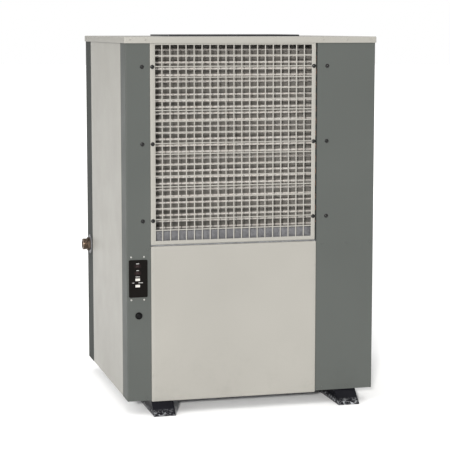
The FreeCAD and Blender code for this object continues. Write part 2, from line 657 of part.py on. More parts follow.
# --------------------------------------------------------------------------- air outlet
rim = block((-S.out_half_w, S.out_half_w), (middle - S.out_half_d, middle + S.out_half_d),
            (S.cover_top, S.cover_top + S.out_rise), "outlet_rim")
lip = block((-S.out_neck + 0.5, S.out_neck - 0.5),
            (middle - S.out_neck_d + 0.5, middle + S.out_neck_d - 0.5),
            (S.cover_top - 2, S.cover_top + 2), "outlet_lip")
well = block((-S.out_half_w + S.out_rim, S.out_half_w - S.out_rim),
             (middle - S.out_half_d + S.out_rim, middle + S.out_half_d - S.out_rim),
             (S.cover_top - 9, S.cover_top + 20), "outlet_well")
cut(fuse([rim, lip], "outlet_solid"), well, "outlet_frame")


def outlet_guard():
    """Crossing wires in two layers that close the outlet."""
    half_w = float(S.out_half_w - S.out_rim)
    half_d = float(S.out_half_d - S.out_rim)
    radius, pitch = float(S.guard_r), float(S.guard_pitch)
    z = S.cover_top + 3
    solids = []
    for i in range(-int(half_w // pitch), int(half_w // pitch) + 1):
        start = point(pitch * i, middle - half_d, z)
        solids.append(Part.makeCylinder(radius, 2 * half_d, start, V(0, 1, 0)))
    for i in range(-int(half_d // pitch), int(half_d // pitch) + 1):
        start = point(-half_w, middle + pitch * i, z - 2 * radius)
        solids.append(Part.makeCylinder(radius, 2 * half_w, start, V(1, 0, 0)))
    return fixed("outlet_guard", Part.makeCompound(solids))


outlet_guard()

# --------------------------------------------------------------------------- compressor
r, low, top = S.comp_r, S.comp_low, S.comp_top
shell = turned("compressor_shell", S.comp_x, S.comp_y, low,
               [(0, 0), (r - 22, 0), (r, 16), (r, top - low - 40),
                (r - 18, top - low - 12), (r * 0.3, top - low), (0, top - low)])
foot = block((S.comp_x - S.comp_foot, S.comp_x + S.comp_foot),
             (S.comp_y - S.comp_foot, S.comp_y + S.comp_foot), (low, low + S.foot_t), "compressor_foot")
BOLTS = [(S.comp_x + S.comp_hole * i, S.comp_y + S.comp_hole * k, low) for i in (-1, 1) for k in (-1, 1)]
terminals = block((S.comp_x - 32, S.comp_x + 32), (S.comp_y - S.comp_r - 40, S.comp_y - S.comp_r + 20),
                  (300, 390), "compressor_terminals")
drilled(fuse([shell, foot, terminals], "compressor_solid"), BOLTS, "z", S.bolt_r + 0.5, 30, "compressor")
first = BOLTS[0]
pan_top = S.base_z + S.pan_t
rubber = cut(rod(first[0], first[1], pan_top, S.mount_r, low - pan_top, "z", "rubber"),
             rod(first[0], first[1], S.base_z, S.bolt_r + 0.3, S.comp_low, "z", "rubber_bore"),
             "rubber_mount")
steps = [(S.comp_hole * 2 * i, S.comp_hole * 2 * k, 0) for i in (0, 1) for k in (0, 1)]
repeated("compressor_mounts", rubber, steps)
shank = rod(first[0], first[1], pan_top + 1, S.bolt_r, low + S.foot_t - pan_top - 1, "z", "bolt_shank")
head = hexagon(first[0], first[1], low + S.foot_t, 17, 7, "z", "bolt_head")
repeated("compressor_bolts", fuse([shank, head], "compressor_bolt"), steps)

# --------------------------------------------------------------------------- vessels and lines
tank_h = S.tank_top - pan_top
wall = S.tank_wall
turned("liquid_receiver", S.tank_x, S.tank_y, pan_top,
       [(0, 0), (50, 0), (50, 24), (S.tank_r, 40), (S.tank_r, tank_h - 30),
        (S.tank_r - 24, tank_h), (0, tank_h), (0, tank_h - wall),
        (S.tank_r - 26, tank_h - wall), (S.tank_r - wall, tank_h - 32), (S.tank_r - wall, 43),
        (46, 24 + wall), (0, 24 + wall)])
turned("filter_drier", S.drier_x, S.tank_y, S.drier_low,
       [(0, 0), (10, 0), (10, 12),
        (S.drier_r, 28), (S.drier_r, S.drier_top - S.drier_low - 28),
        (10, S.drier_top - S.drier_low - 12),
        (10, S.drier_top - S.drier_low), (0, S.drier_top - S.drier_low)])

evap_rows, cond_rows = rows_of(S.evap_y), rows_of(S.cond_y)
top_tube = S.tube_z + S.tube_pitch * (TUBES - 1)
coil_end = S.tube_end + 0.3
fixed("suction_line", pipe([(coil_end, evap_rows[1], top_tube), (335, evap_rows[1], top_tube),
                            (335, evap_rows[1], 628), (335, S.comp_y, 628), (20, S.comp_y, 628),
                            (20, S.comp_y, 420), (S.comp_x + S.comp_r + 0.3, S.comp_y, 420)],
                           S.suction_r, 30))
fixed("discharge_line", pipe([(S.comp_x, S.comp_y, S.comp_top + 0.3), (S.comp_x, S.comp_y, 600),
                              (S.comp_x, 300, 600), (375, 300, 600), (375, cond_rows[0], 600),
                              (375, cond_rows[0], top_tube), (coil_end, cond_rows[0], top_tube)],
                             S.gas_r, 24))
fixed("liquid_line", pipe([(coil_end, cond_rows[1], top_tube), (412, cond_rows[1], top_tube),
                           (412, cond_rows[1], 640), (412, S.tank_y, 640), (S.tank_x, S.tank_y, 640),
                           (S.tank_x, S.tank_y, S.tank_top + 0.3)], S.liquid_r, 20))
drier_in = pipe([(S.tank_x + S.tank_r + 0.3, S.tank_y, 150), (S.drier_x, S.tank_y, 150),
                 (S.drier_x, S.tank_y, S.drier_low - 0.3)], S.liquid_r, 20)
drier_out = pipe([(S.drier_x, S.tank_y, S.drier_top + 0.3), (S.drier_x, S.tank_y, 597),
                  (S.drier_x, evap_rows[0], 597), (S.drier_x, evap_rows[0], top_tube),
                  (402, evap_rows[0], top_tube)], S.liquid_r, 20)
fixed("feed_lines", Part.makeCompound([drier_in, drier_out]))
valve = [rod(352, evap_rows[0], top_tube, 15, 49.7, "x", "valve_body"),
         rod(coil_end, evap_rows[0], top_tube, S.liquid_r, 80, "x", "valve_outlet"),
         rod(376, evap_rows[0], top_tube - 44, 11, 44, "z", "valve_stem"),
         rod(376, evap_rows[0], top_tube - 62, 22, 18, "z", "valve_head")]
fuse(valve, "expansion_valve")

# --------------------------------------------------------------------------- electrical box
box_x, box_y, box_z = (285.0, 495.0), (22.0, 130.0), (pan_top, 580.0)
pan("electrical_box", box_x, box_y, box_z, "-y", S.tray_t)
block(box_x, (20.5, 22.0), box_z, "electrical_box_lid")
contactor = fuse([block((0, 42), (78, 128.5), (384, 456), "contactor_base"),
                  block((4, 38), (52, 78), (396, 444), "contactor_head")], "contactor_unit")
repeated("contactors", contactor, [(308 + 48 * i, 0, 0) for i in range(3)])

# --------------------------------------------------------------------------- condensate connection
drain_face = -S.cab_half - S.drain_plate_t
tip = -S.cab_half - S.drain_reach
spigot = [rod(tip, S.drain_y, S.drain_z, S.drain_r, S.drain_reach + S.drain_inside, "x", "drain_spigot"),
          rod(-S.cab_half, S.drain_y, S.drain_z, S.hose_r, S.hose_start, "x", "drain_barb"),
          hexagon(drain_face - S.drain_grip, S.drain_y, S.drain_z, S.drain_hex, S.drain_grip, "x",
                  "drain_hexagon")]
cut(fuse(spigot, "drain_solid"),
    rod(tip - 1, S.drain_y, S.drain_z, S.drain_bore, S.drain_reach + 60, "x", "drain_bore_tool"),
    "drain_fitting")
cut(rod(drain_face, S.drain_y, S.drain_z, S.drain_plate_r, S.drain_plate_t, "x", "drain_disc"),
    rod(drain_face - 1, S.drain_y, S.drain_z, S.drain_r + 0.3, 10, "x", "drain_disc_bore"),
    "drain_washer")
cut(hexagon(-S.cab_half + S.sheet, S.drain_y, S.drain_z, 66, 9, "x", "drain_nut_body"),
    rod(-S.cab_half, S.drain_y, S.drain_z, S.drain_r + 0.3, 20, "x", "drain_nut_bore"), "drain_nut")
hose_path = [(-S.cab_half + S.hose_start + 0.3, S.drain_y, S.drain_z), (S.spout_x, S.drain_y, S.drain_z),
             (S.spout_x, S.spout_y, S.drain_z), (S.spout_x, S.spout_y, S.deck_z - 42.3)]
hose = pipe(hose_path, S.hose_r, 42).cut(pipe(hose_path, S.hose_r - 3, 42))
fixed("drain_hose", hose)

# --------------------------------------------------------------------------- controls
fascia = block((S.ctrl_x - S.ctrl_half_w, S.ctrl_x + S.ctrl_half_w), (-S.ctrl_t, 0),
               (S.ctrl_z - S.ctrl_half_h, S.ctrl_z + S.ctrl_half_h), "fascia_sheet")
doc.recompute()
rounded = doc.addObject("Part::Fillet", "fascia_rounded")
rounded.Base = fascia
rounded.Edges = [(i, 5.0, 5.0) for i, e in enumerate(fascia.Shape.Edges, 1) if e.BoundBox.YLength > 2]
half_w, half_h = S.key_w / 2, S.key_h / 2
gap = S.key_gap
cuts = [block((S.key_x - half_w - gap, S.key_x + half_w + gap), (-9, 9),
              (z - half_h - gap, z + half_h + gap), "key_hole") for z in (S.key_up_z, S.key_down_z)]
cuts += [block((S.show_x - S.show_w / 2, S.show_x + S.show_w / 2), (-9, 9),
               (z - S.show_h / 2, z + S.show_h / 2), "display_hole")
         for z in (S.show_up_z, S.show_down_z)]
cut(rounded, cuts, "control_panel")
show = fuse([block((S.show_x - S.show_w / 2, S.show_x + S.show_w / 2), (-S.ctrl_t + 0.3, 0),
                   (S.show_down_z - S.show_h / 2, S.show_down_z + S.show_h / 2), "display_window"),
             block((S.show_x - S.show_w / 2 - 2, S.show_x + S.show_w / 2 + 2), (0, 7),
                   (S.show_down_z - S.show_h / 2 - 1, S.show_down_z + S.show_h / 2 + 1),
                   "display_case")], "display_unit")
repeated("displays", show, [(0, 0, 0), (0, 0, S.show_up_z - S.show_down_z)])
for name, z in (("up_button", S.key_up_z), ("down_button", S.key_down_z)):
    cap = block((S.key_x - half_w, S.key_x + half_w), (-S.ctrl_t - S.key_stand, 0.5),
                (z - half_h, z + half_h), name + "_cap")
    skirt = block((S.key_x - half_w - 1.6, S.key_x + half_w + 1.6), (0.1, 2.1),
                  (z - half_h - 1.6, z + half_h + 1.6), name + "_skirt")
    plunger = rod(S.key_x, 2.0, z, 3, 3.4, "y", name + "_plunger")
    fuse([cap, skirt, plunger], name)
pan("control_housing", (S.ctrl_x - 34, S.ctrl_x + 34), (S.sheet, 40),
    (S.ctrl_z - 70, S.ctrl_z + 70), "-y", S.sheet)

collar = rod(S.switch_x, -3.0, S.switch_z, S.bezel_r, 3.0, "y", "bezel_collar")
barrel = rod(S.switch_x, -0.5, S.switch_z, 9.0, 14.5, "y", "bezel_barrel")
bore = rod(S.switch_x, -5, S.switch_z, S.stem_r + S.run_fit, 25, "y", "bezel_bore")
case = block((S.switch_x - 17, S.switch_x + 17), (14, 52), (S.switch_z - 17, S.switch_z + 17),
             "switch_case")
cut(fuse([collar, barrel, case], "switch_solid"), bore, "switch_body")
knob = rod(S.switch_x, -7.0, S.switch_z, S.knob_r, 3.9, "y", "knob_disc")
grip = block((S.switch_x - 2.6, S.switch_x + 2.6), (-15, -6.5), (S.switch_z - 9.4, S.switch_z + 9.4),
             "knob_grip")
stem = rod(S.switch_x, -4, S.switch_z, S.stem_r, 17.5, "y", "knob_stem")
fuse([knob, grip, stem], "switch_knob")

# --------------------------------------------------------------------------- cable inlet and fasteners
gland = fuse([hexagon(320, S.cab_d, 160, 30, 7, "y", "gland_hexagon"),
              rod(320, S.cab_d + 7, 160, 12, 14, "y", "gland_cap"),
              rod(320, S.cab_d - 14, 160, 12, 14, "y", "gland_thread")], "gland_solid")
cut(gland, rod(320, S.cab_d - 20, 160, 6.5, 60, "y", "gland_bore"), "cable_gland")


def dome(x, y, z):
    """A dome-headed screw, its head against the sheet at y and its shank behind."""
    radius, height, shank_r = float(S.dome_r), float(S.dome_h), float(S.dome_shank)
    spots = [V(0, -height, 0), V(0.8, -height, 0), V(radius * 0.66, -height * 0.76, 0),
             V(radius, -0.8, 0), V(radius, 0, 0), V(shank_r, 0, 0), V(shank_r, 8.5, 0), V(0, 8.5, 0)]
    edges = [Part.makeLine(spots[0], spots[1]), Part.Arc(*spots[1:4]).toShape()]
    edges += [Part.makeLine(here, there) for here, there in zip(spots[3:], spots[4:] + spots[:1])]
    turned_shape = Part.Face(Part.Wire(edges)).revolve(V(), V(0, 1, 0), 360)
    turned_shape.translate(point(x, y, z))
    return turned_shape.Solids[0] if turned_shape.Solids else Part.Solid(turned_shape)


def small_screw(x, y, z):
    """A flat-topped pan-head screw with a cross recess."""
    start = point(x, y, z)
    height, radius = float(S.screw_h), float(S.screw_r)
    head_part = Part.makeCylinder(radius, height, start - V(0, height, 0), V(0, 1, 0))
    shank_part = Part.makeCylinder(float(S.shank_r), 9, start - V(0, 0.5, 0), V(0, 1, 0))
    solid = head_part.fuse(shank_part)
    for size in ((3.6, 1.0), (1.0, 3.6)):
        corner = start - V(size[0] / 2, height + 0.1, size[1] / 2)
        solid = solid.cut(Part.makeBox(size[0], 1.1, size[1], corner))
    return solid


def screws(label, maker, spots):
    return fixed(label, Part.makeCompound([maker(*spot) for spot in spots]))


screws("dome_screws", dome, LEFT_DOMES + RIGHT_DOMES + FRAME_DOMES)
screws("case_screws", small_screw, LEFT_SCREWS + RIGHT_SCREWS + PANEL_SCREWS + COVER_SCREWS + RIVETS)

# --------------------------------------------------------------------------- check and export
NODES = """left_skid right_skid base_pan front_left_pillar front_right_pillar rear_left_post
rear_right_post left_side_panel right_side_panel rear_panel top_cover lower_front_panel
grille_frame grille_mesh middle_deck drip_tray evaporator_fins evaporator_end_plates
evaporator_tubes condenser_fins condenser_end_plates condenser_tubes blower_shelf
left_blower_scroll left_blower_sides left_blower_wheel left_blower_motor right_blower_scroll
right_blower_sides right_blower_wheel right_blower_motor outlet_frame outlet_guard compressor
compressor_mounts compressor_bolts liquid_receiver filter_drier suction_line discharge_line
liquid_line feed_lines expansion_valve electrical_box electrical_box_lid contactors
drain_fitting drain_washer drain_nut drain_hose control_panel displays up_button down_button
control_housing switch_body switch_knob cable_gland dome_screws case_screws""".split()

doc.recompute()
for obj in doc.Objects:
    if {"Invalid", "Error"} & set(obj.State):
        raise RuntimeError(f"{obj.Label} is in state {obj.State}")

os.makedirs("parts", exist_ok=True)
for node in NODES:
    found = doc.getObjectsByLabel(node)
    if len(found) != 1:
        raise RuntimeError(f"{node}: {len(found)} objects have this label")
    shape = found[0].Shape
    if shape.isNull() or not shape.isValid():
        raise RuntimeError(f"{node} has no valid shape")
    shape.exportStep(f"parts/{node}.step")
    extent = shape.BoundBox
    print(f"{node:26s} solids {len(shape.Solids):3d} volume {shape.Volume:12.0f} "
          f"x {extent.XMin:7.1f} {extent.XMax:7.1f} y {extent.YMin:7.1f} {extent.YMax:7.1f} "
          f"z {extent.ZMin:7.1f} {extent.ZMax:7.1f}")
print(f"{len(NODES)} nodes written")
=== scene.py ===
import math

import bpy
import numpy as np
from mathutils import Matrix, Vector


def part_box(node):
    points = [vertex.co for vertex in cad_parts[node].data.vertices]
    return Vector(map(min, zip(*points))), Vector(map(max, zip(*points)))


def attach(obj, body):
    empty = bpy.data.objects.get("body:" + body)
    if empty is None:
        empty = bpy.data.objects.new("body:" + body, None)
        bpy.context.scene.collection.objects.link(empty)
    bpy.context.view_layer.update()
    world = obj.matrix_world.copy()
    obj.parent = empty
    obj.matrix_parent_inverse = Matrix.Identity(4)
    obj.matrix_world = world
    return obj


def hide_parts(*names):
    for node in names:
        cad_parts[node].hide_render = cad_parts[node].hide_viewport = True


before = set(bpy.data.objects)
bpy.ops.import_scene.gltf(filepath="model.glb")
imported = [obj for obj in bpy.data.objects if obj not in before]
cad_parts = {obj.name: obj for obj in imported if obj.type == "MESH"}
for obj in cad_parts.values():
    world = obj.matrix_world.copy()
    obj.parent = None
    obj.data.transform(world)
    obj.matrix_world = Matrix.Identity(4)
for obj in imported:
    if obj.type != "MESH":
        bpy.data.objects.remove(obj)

bl_info = {
    "name": "Cabinet Dehumidifier",
    "version": (1, 0, 0),
    "blender": (4, 5, 0),
    "location": "View3D > Sidebar > Dehumidifier",
    "description": "Builds the looks of a floor-standing cabinet dehumidifier around its packed frame",
    "category": "Object",
}

CASE_BODY = "cabinet"


# ------------------------------------------------------------------ surfaces as arrays
def box_of(node):
    """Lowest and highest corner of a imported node, as arrays in metres."""
    low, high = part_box(node)
    return np.array(low), np.array(high)


def rounded_rectangle(half_w, half_h, radius, steps=5):
    """Closed loop of a rectangle whose corners are quarter circles, anticlockwise.

    Each corner's points are its centre plus radius times (cos t, sin t), with t over a quarter
    turn, and the four corners follow one another.
    """
    t = np.linspace(0, math.pi / 2, steps + 1)
    turns = np.arange(4)[:, None] * math.pi / 2 + t
    signs = np.array([(1, 1), (-1, 1), (-1, -1), (1, -1)])
    centres = signs * np.array([half_w - radius, half_h - radius])
    arcs = np.stack([np.cos(turns), np.sin(turns)], -1) * radius
    return (centres[:, None, :] + arcs).reshape(-1, 2)


def level(flat, z):
    """An outline of (x, y) points at one height."""
    return np.column_stack([flat, np.full(len(flat), z)])


def upright(flat, y):
    """An outline of (x, z) points at one depth."""
    return np.column_stack([flat[:, 0], np.full(len(flat), y), flat[:, 1]])


def loft(loops, ring=False):
    """Skin over a stack of equal closed loops, shape (rows, points, 3).

    Quads join each loop to the next. The end loops are closed with one face each, unless ring is
    set, which joins the last loop to the first.
    """
    rows, count = loops.shape[:2]
    i = np.arange(rows if ring else rows - 1)[:, None]
    j = np.arange(count)[None, :]
    after, beside = (i + 1) % rows, (j + 1) % count
    quads = np.stack([i * count + j, i * count + beside, after * count + beside, after * count + j], -1)
    faces = quads.reshape(-1, 4).tolist()
    if not ring:
        faces.append(list(range(count))[::-1])
        faces.append(list(range((rows - 1) * count, rows * count)))
    return outward(loops.reshape(-1, 3), faces)


def outward(points, faces):
    """Turns the faces of a closed shape over if its signed volume, the sum of p0 . (p1 x p2) over
    the triangle fans of its faces, is negative."""
    total = 0.0
    for size in {len(f) for f in faces}:
        same = np.array([f for f in faces if len(f) == size])
        corner = points[same]
        for k in range(1, size - 1):
            total += np.einsum("ij,ij->", corner[:, 0], np.cross(corner[:, k], corner[:, k + 1]))
    return points, ([f[::-1] for f in faces] if total < 0 else faces)


def joined(parts):
    """Several (points, faces) pairs as one."""
    points, faces, shift = [], [], 0
    for part_points, part_faces in parts:
        points.append(part_points)
        faces += [[k + shift for k in f] for f in part_faces]
        shift += len(part_points)
    return np.concatenate(points), faces


def copies(part, steps):
    """One (points, faces) pair repeated at each step."""
    points, faces = part
    return joined([(points + np.asarray(step), faces) for step in steps])


def lathe(profile, centre, axis, count=32, flats=(), crosses=()):
    """Surface of revolution: each (radius, height) becomes a ring about the axis at that height.

    Rows named in flats are hexagons: their radius is divided by the cosine of the angle to the
    nearest flat's middle. Rows named in crosses have their radius multiplied by 0.4 plus 0.6 times
    the fourth power of cos 2t. A profile that starts and ends off the axis is joined into a ring.
    """
    profile = np.asarray(profile, float)
    angle = np.arange(count) * 2 * math.pi / count
    nearest = (angle + math.pi / 6) % (math.pi / 3) - math.pi / 6
    radius = np.repeat(profile[:, :1], count, 1)
    for row in flats:
        radius[row] = radius[row] / np.cos(nearest)
    for row in crosses:
        radius[row] = radius[row] * (0.4 + 0.6 * np.cos(2 * angle) ** 4)
    height = np.repeat(profile[:, 1:], count, 1)
    local = np.stack([radius * np.cos(angle), radius * np.sin(angle), height], -1)
    order = {"x": (2, 0, 1), "y": (0, 2, 1), "z": (0, 1, 2)}[axis]
    loops = local[..., order] + np.asarray(centre)
    return loft(loops, ring=bool(np.allclose(profile[0], profile[-1])))


def rods(starts, ends, radius, sides=8):
    """Straight round bars: each has four rings, start and end drawn in a little for a soft end.

    A ring is the point on the line plus radius times (cos t, sin t) across the bar.
    """
    starts, ends = np.atleast_2d(starts), np.atleast_2d(ends)
    way = (ends - starts) / np.linalg.norm(ends - starts, axis=1, keepdims=True)
    side = np.cross(way, np.where(np.abs(way[:, 2:]) > 0.9, [[1.0, 0, 0]], [[0, 0, 1.0]]))
    side /= np.linalg.norm(side, axis=1, keepdims=True)
    other = np.cross(way, side)
    t = np.arange(sides) * 2 * math.pi / sides
    circle = side[:, None, :] * np.cos(t)[:, None] + other[:, None, :] * np.sin(t)[:, None]
    shapes = []
    for start, end, line, ring in zip(starts, ends, way, circle):
        soft = line * radius * 0.3
        loops = np.stack([start + ring * radius * 0.7, start + soft + ring * radius,
                          end - soft + ring * radius, end + ring * radius * 0.7])
        shapes.append(loft(loops))
    return joined(shapes)


FACING = {"-x": (0, 1, 2, 1), "+x": (0, 1, 2, -1), "-y": (1, 0, 2, 1), "+y": (1, 0, 2, -1),
          "+z": (2, 0, 1, -1)}


def facing_loops(node, face, profile, corner, steps=4):
    """Loops for a sheet piece that faces one way: each (inset, depth) of the profile is a rounded
    rectangle, inset from the node's outline and set back from its outer face."""
    low, high = box_of(node)
    normal, across, up, inward = FACING[face]
    middle = (low + high) / 2
    half = (high - low) / 2
    outer = low[normal] if inward > 0 else high[normal]
    loops = []
    for inset, depth in profile:
        flat = rounded_rectangle(half[across] - inset, half[up] - inset,
                                 max(corner - inset, 0.0004), steps)
        loop = np.zeros((len(flat), 3))
        loop[:, across] = middle[across] + flat[:, 0]
        loop[:, up] = middle[up] + flat[:, 1]
        loop[:, normal] = outer + inward * depth
        loops.append(loop)
    return np.array(loops)


def fold(radius, inset=0.0, depth=0.0, steps=4):
    """Profile of an outside fold: a quarter circle from the face round to the flange."""
    t = np.linspace(0, math.pi / 2, steps + 1)
    return list(zip(inset + radius * (1 - np.sin(t)), depth + radius * (1 - np.cos(t))))


# ------------------------------------------------------------------ pieces
def piece(name, shape, finish, body=CASE_BODY, replaces=(), sharp=35):
    """Makes an object from (points, faces), gives it its finish and puts it on its body."""
    points, faces = shape
    mesh = bpy.data.meshes.new(name)
    mesh.from_pydata(points.tolist(), [], faces)
    mesh.validate()
    mesh.shade_smooth()
    mesh.set_sharp_from_angle(angle=math.radians(sharp))
    made = bpy.data.objects.new(name, mesh)
    bpy.context.scene.collection.objects.link(made)
    mesh.materials.append(finish)
    if replaces:
        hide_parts(*replaces)
    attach(made, body)
    return made


def dress(finish, *nodes):
    """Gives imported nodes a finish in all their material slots."""
    for name in nodes:
        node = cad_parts[name]
        if not node.material_slots:
            node.data.materials.append(finish)
        for place in node.material_slots:
            place.material = finish


# ------------------------------------------------------------------ finishes
class Finish:
    """A material built from nodes on Object coordinates, in metres."""

    def __init__(self, name, colour, roughness, metallic=0.0):
        self.material = bpy.data.materials.new(name)
        self.material.use_nodes = True
        self.nodes = self.material.node_tree.nodes
        self.links = self.material.node_tree.links
        self.shader = self.nodes["Principled BSDF"]
        self.shader.inputs["Metallic"].default_value = metallic
        self.place = self.nodes.new("ShaderNodeTexCoord").outputs["Object"]
        self.colour = (*colour, 1.0)
        self.roughness = roughness
        self.shader.inputs["Base Color"].default_value = self.colour
        self.shader.inputs["Roughness"].default_value = roughness

    def add(self, kind, values=None, **settings):
        """One node with its settings and input values, which may be links."""
        made = self.nodes.new(kind)
        for key, value in settings.items():
            setattr(made, key, value)
        for key, value in (values or {}).items():
            if isinstance(value, bpy.types.NodeSocket):
                self.links.new(value, made.inputs[key])
            else:
                made.inputs[key].default_value = value
        return made

    def stretched(self, scale):
        """Object coordinates multiplied along each axis."""
        return self.add("ShaderNodeMapping", {"Vector": self.place, "Scale": scale}).outputs[0]

    def noise(self, scale, detail=3.0, place=None, rough=0.55):
        return self.add("ShaderNodeTexNoise", {"Vector": place or self.place, "Scale": scale,
                                               "Detail": detail, "Roughness": rough}).outputs["Fac"]

    def ramp(self, value, low, high, to_low=0.0, to_high=1.0):
        """Spreads a range of values over another range, clamped."""
        return self.add("ShaderNodeMapRange", {"Value": value, "From Min": low, "From Max": high,
                                               "To Min": to_low, "To Max": to_high}).outputs[0]

    def maths(self, how, one, two=0.5):
        return self.add("ShaderNodeMath", {0: one, 1: two}, operation=how).outputs[0]

    def times(self, one, two):
        return self.maths("MULTIPLY", one, two)

    def mixed(self, amount, one, two):
        """Blends two colours by an amount."""
        made = self.add("ShaderNodeMix", data_type="RGBA")
        for key, value in ((0, amount), (6, one), (7, two)):
            if isinstance(value, bpy.types.NodeSocket):
                self.links.new(value, made.inputs[key])
            else:
                made.inputs[key].default_value = value
        return made.outputs[2]

    def height(self):
        """Height above the floor."""
        return self.add("ShaderNodeSeparateXYZ", {0: self.place}).outputs["Z"]

    def upward(self):
        """One on surfaces that face up, nought on upright ones."""
        normal = self.add("ShaderNodeNewGeometry").outputs["Normal"]
        up = self.add("ShaderNodeSeparateXYZ", {0: normal}).outputs["Z"]
        return self.ramp(up, 0.35, 0.95)

    def tint(self, colour):
        self.links.new(colour, self.shader.inputs["Base Color"])

    def gloss(self, value):
        self.links.new(value, self.shader.inputs["Roughness"])

    def bump(self, value, strength, distance):
        made = self.add("ShaderNodeBump", {"Height": value, "Strength": strength, "Distance": distance})
        self.links.new(made.outputs[0], self.shader.inputs["Normal"])


def shade(colour, factor):
    return (*[min(c * factor, 1.0) for c in colour[:3]], 1.0)


def powder_coat(name, colour, roughness=0.45, peel=0.10, specular=0.4):
    """Baked powder paint: orange peel, faint clouding, dust on ledges and scuffing near the floor."""
    f = Finish(name, colour, roughness)
    f.shader.inputs["Specular IOR Level"].default_value = specular
    clouds = f.ramp(f.noise(2.2, 2.0), 0.35, 0.65)
    tone = f.mixed(clouds, shade(colour, 0.97), shade(colour, 1.025))
    grain = f.ramp(f.noise(1500.0, 1.0), 0.3, 0.7)
    tone = f.mixed(f.times(grain, 0.12), tone, shade(colour, 0.72))
    dust = f.times(f.upward(), f.ramp(f.noise(35.0, 5.0), 0.3, 0.75, 0.02, 0.3))
    tone = f.mixed(dust, tone, (0.34, 0.33, 0.31, 1))
    near_floor = f.ramp(f.height(), 0.05, 0.34, 1.0, 0.0)
    wear = f.times(near_floor, f.ramp(f.noise(18.0, 6.0, rough=0.7), 0.5, 0.8, 0.0, 0.22))
    tone = f.mixed(wear, tone, shade(colour, 0.55))
    f.tint(tone)
    f.gloss(f.ramp(f.noise(5.0, 3.0), 0.3, 0.7, roughness - 0.04, roughness + 0.05))
    f.bump(f.noise(520.0, 2.0), peel, 0.0006)
    return f.material


def zinc_sheet(name, colour, metallic=0.75):
    """Galvanised sheet: spangles of a few millimetres, each with its own tone, and rolling marks."""
    f = Finish(name, colour, 0.42, metallic)
    cells = f.add("ShaderNodeTexVoronoi", {"Vector": f.place, "Scale": 95.0}).outputs["Color"]
    value = f.add("ShaderNodeSeparateXYZ", {0: cells}).outputs["X"]
    tone = f.mixed(f.ramp(value, 0.0, 1.0), shade(colour, 0.82), shade(colour, 1.12))
    stain = f.ramp(f.noise(9.0, 6.0), 0.52, 0.8, 0.0, 0.5)
    f.tint(f.mixed(stain, tone, shade(colour, 0.62)))
    f.gloss(f.ramp(value, 0.0, 1.0, 0.34, 0.58))
    f.bump(f.noise(240.0, 3.0, f.stretched((1.0, 1.0, 12.0))), 0.05, 0.0004)
    return f.material


def black_enamel(name, colour, scuff_and_highlight_top, scuff_and_highlight_amount=0.5, specular=0.2, coat=0.08):
    """Glossy black enamel with chips and grey patches towards the floor: partly scuffs, partly a painted
    highlight.
    """
    f = Finish(name, colour, 0.24)
    f.shader.inputs["Specular IOR Level"].default_value = specular
    f.shader.inputs["Coat Weight"].default_value = coat
    f.shader.inputs["Coat Roughness"].default_value = 0.12
    # light grey patches low down: partly real scuffs, partly a painted highlight standing in for the enamel's
    # reflections
    low = f.ramp(f.height(), scuff_and_highlight_top * 0.35, scuff_and_highlight_top, 1.0, 0.0)
    blotch = f.ramp(f.noise(95.0, 5.0, rough=0.7), 0.53, 0.62)
    marks = f.ramp(f.noise(60.0, 4.0, f.stretched((1.0, 1.0, 5.0))), 0.56, 0.64)
    scuffs_and_highlights = f.times(low, f.maths("MAXIMUM", blotch, f.times(marks, 0.6)))
    scuffs_and_highlights = f.times(scuffs_and_highlights, scuff_and_highlight_amount)
    tone = f.mixed(f.ramp(f.noise(14.0, 4.0), 0.3, 0.7), shade(colour, 0.8), shade(colour, 1.5))
    f.tint(f.mixed(scuffs_and_highlights, tone, (0.42, 0.43, 0.45, 1)))
    smooth = f.ramp(f.noise(40.0, 5.0), 0.3, 0.7, 0.16, 0.3)
    f.gloss(f.maths("ADD", smooth, f.times(scuffs_and_highlights, 0.4)))
    f.bump(f.noise(330.0, 2.0), 0.06, 0.0005)
    return f.material


def bare_metal(name, colour, roughness, grain=(1.0, 1.0, 1.0), tarnish=(0.3, 0.25, 0.2), amount=0.3,
               metallic=0.9):
    """Plain metal with a drawn grain and patches of tarnish."""
    f = Finish(name, colour, roughness, metallic)
    patches = f.ramp(f.noise(38.0, 6.0, rough=0.65), 0.42, 0.75, 0.0, amount)
    tone = f.mixed(f.ramp(f.noise(420.0, 2.0, f.stretched(grain)), 0.3, 0.7), shade(colour, 0.86),
                   shade(colour, 1.1))
    f.tint(f.mixed(patches, tone, (*tarnish, 1.0)))
    f.gloss(f.ramp(f.noise(75.0, 5.0), 0.3, 0.7, roughness - 0.08, roughness + 0.12))
    f.bump(f.noise(700.0, 2.0, f.stretched(grain)), 0.08, 0.0003)
    return f.material


def moulded_plastic(name, colour, roughness, texture=900.0, specular=0.4):
    """Moulded plastic with a fine spark texture and slight handling shine."""
    f = Finish(name, colour, roughness)
    f.shader.inputs["Specular IOR Level"].default_value = specular
    f.tint(f.mixed(f.ramp(f.noise(25.0, 4.0), 0.3, 0.7), shade(colour, 0.92), shade(colour, 1.08)))
    f.gloss(f.ramp(f.noise(60.0, 5.0), 0.3, 0.7, roughness - 0.06, roughness + 0.08))
    f.bump(f.noise(texture, 2.0), 0.12, 0.0003)
    return f.material


def lit_segments(name, colour, strength):
    """Glowing display segments with a slightly uneven glow."""
    f = Finish(name, colour, 0.4)
    f.tint(f.mixed(f.noise(900.0, 1.0), shade(colour, 0.7), shade(colour, 1.0)))
    f.shader.inputs["Emission Color"].default_value = (*colour, 1.0)
    f.shader.inputs["Emission Strength"].default_value = strength
    return f.material


FINISHES = {}


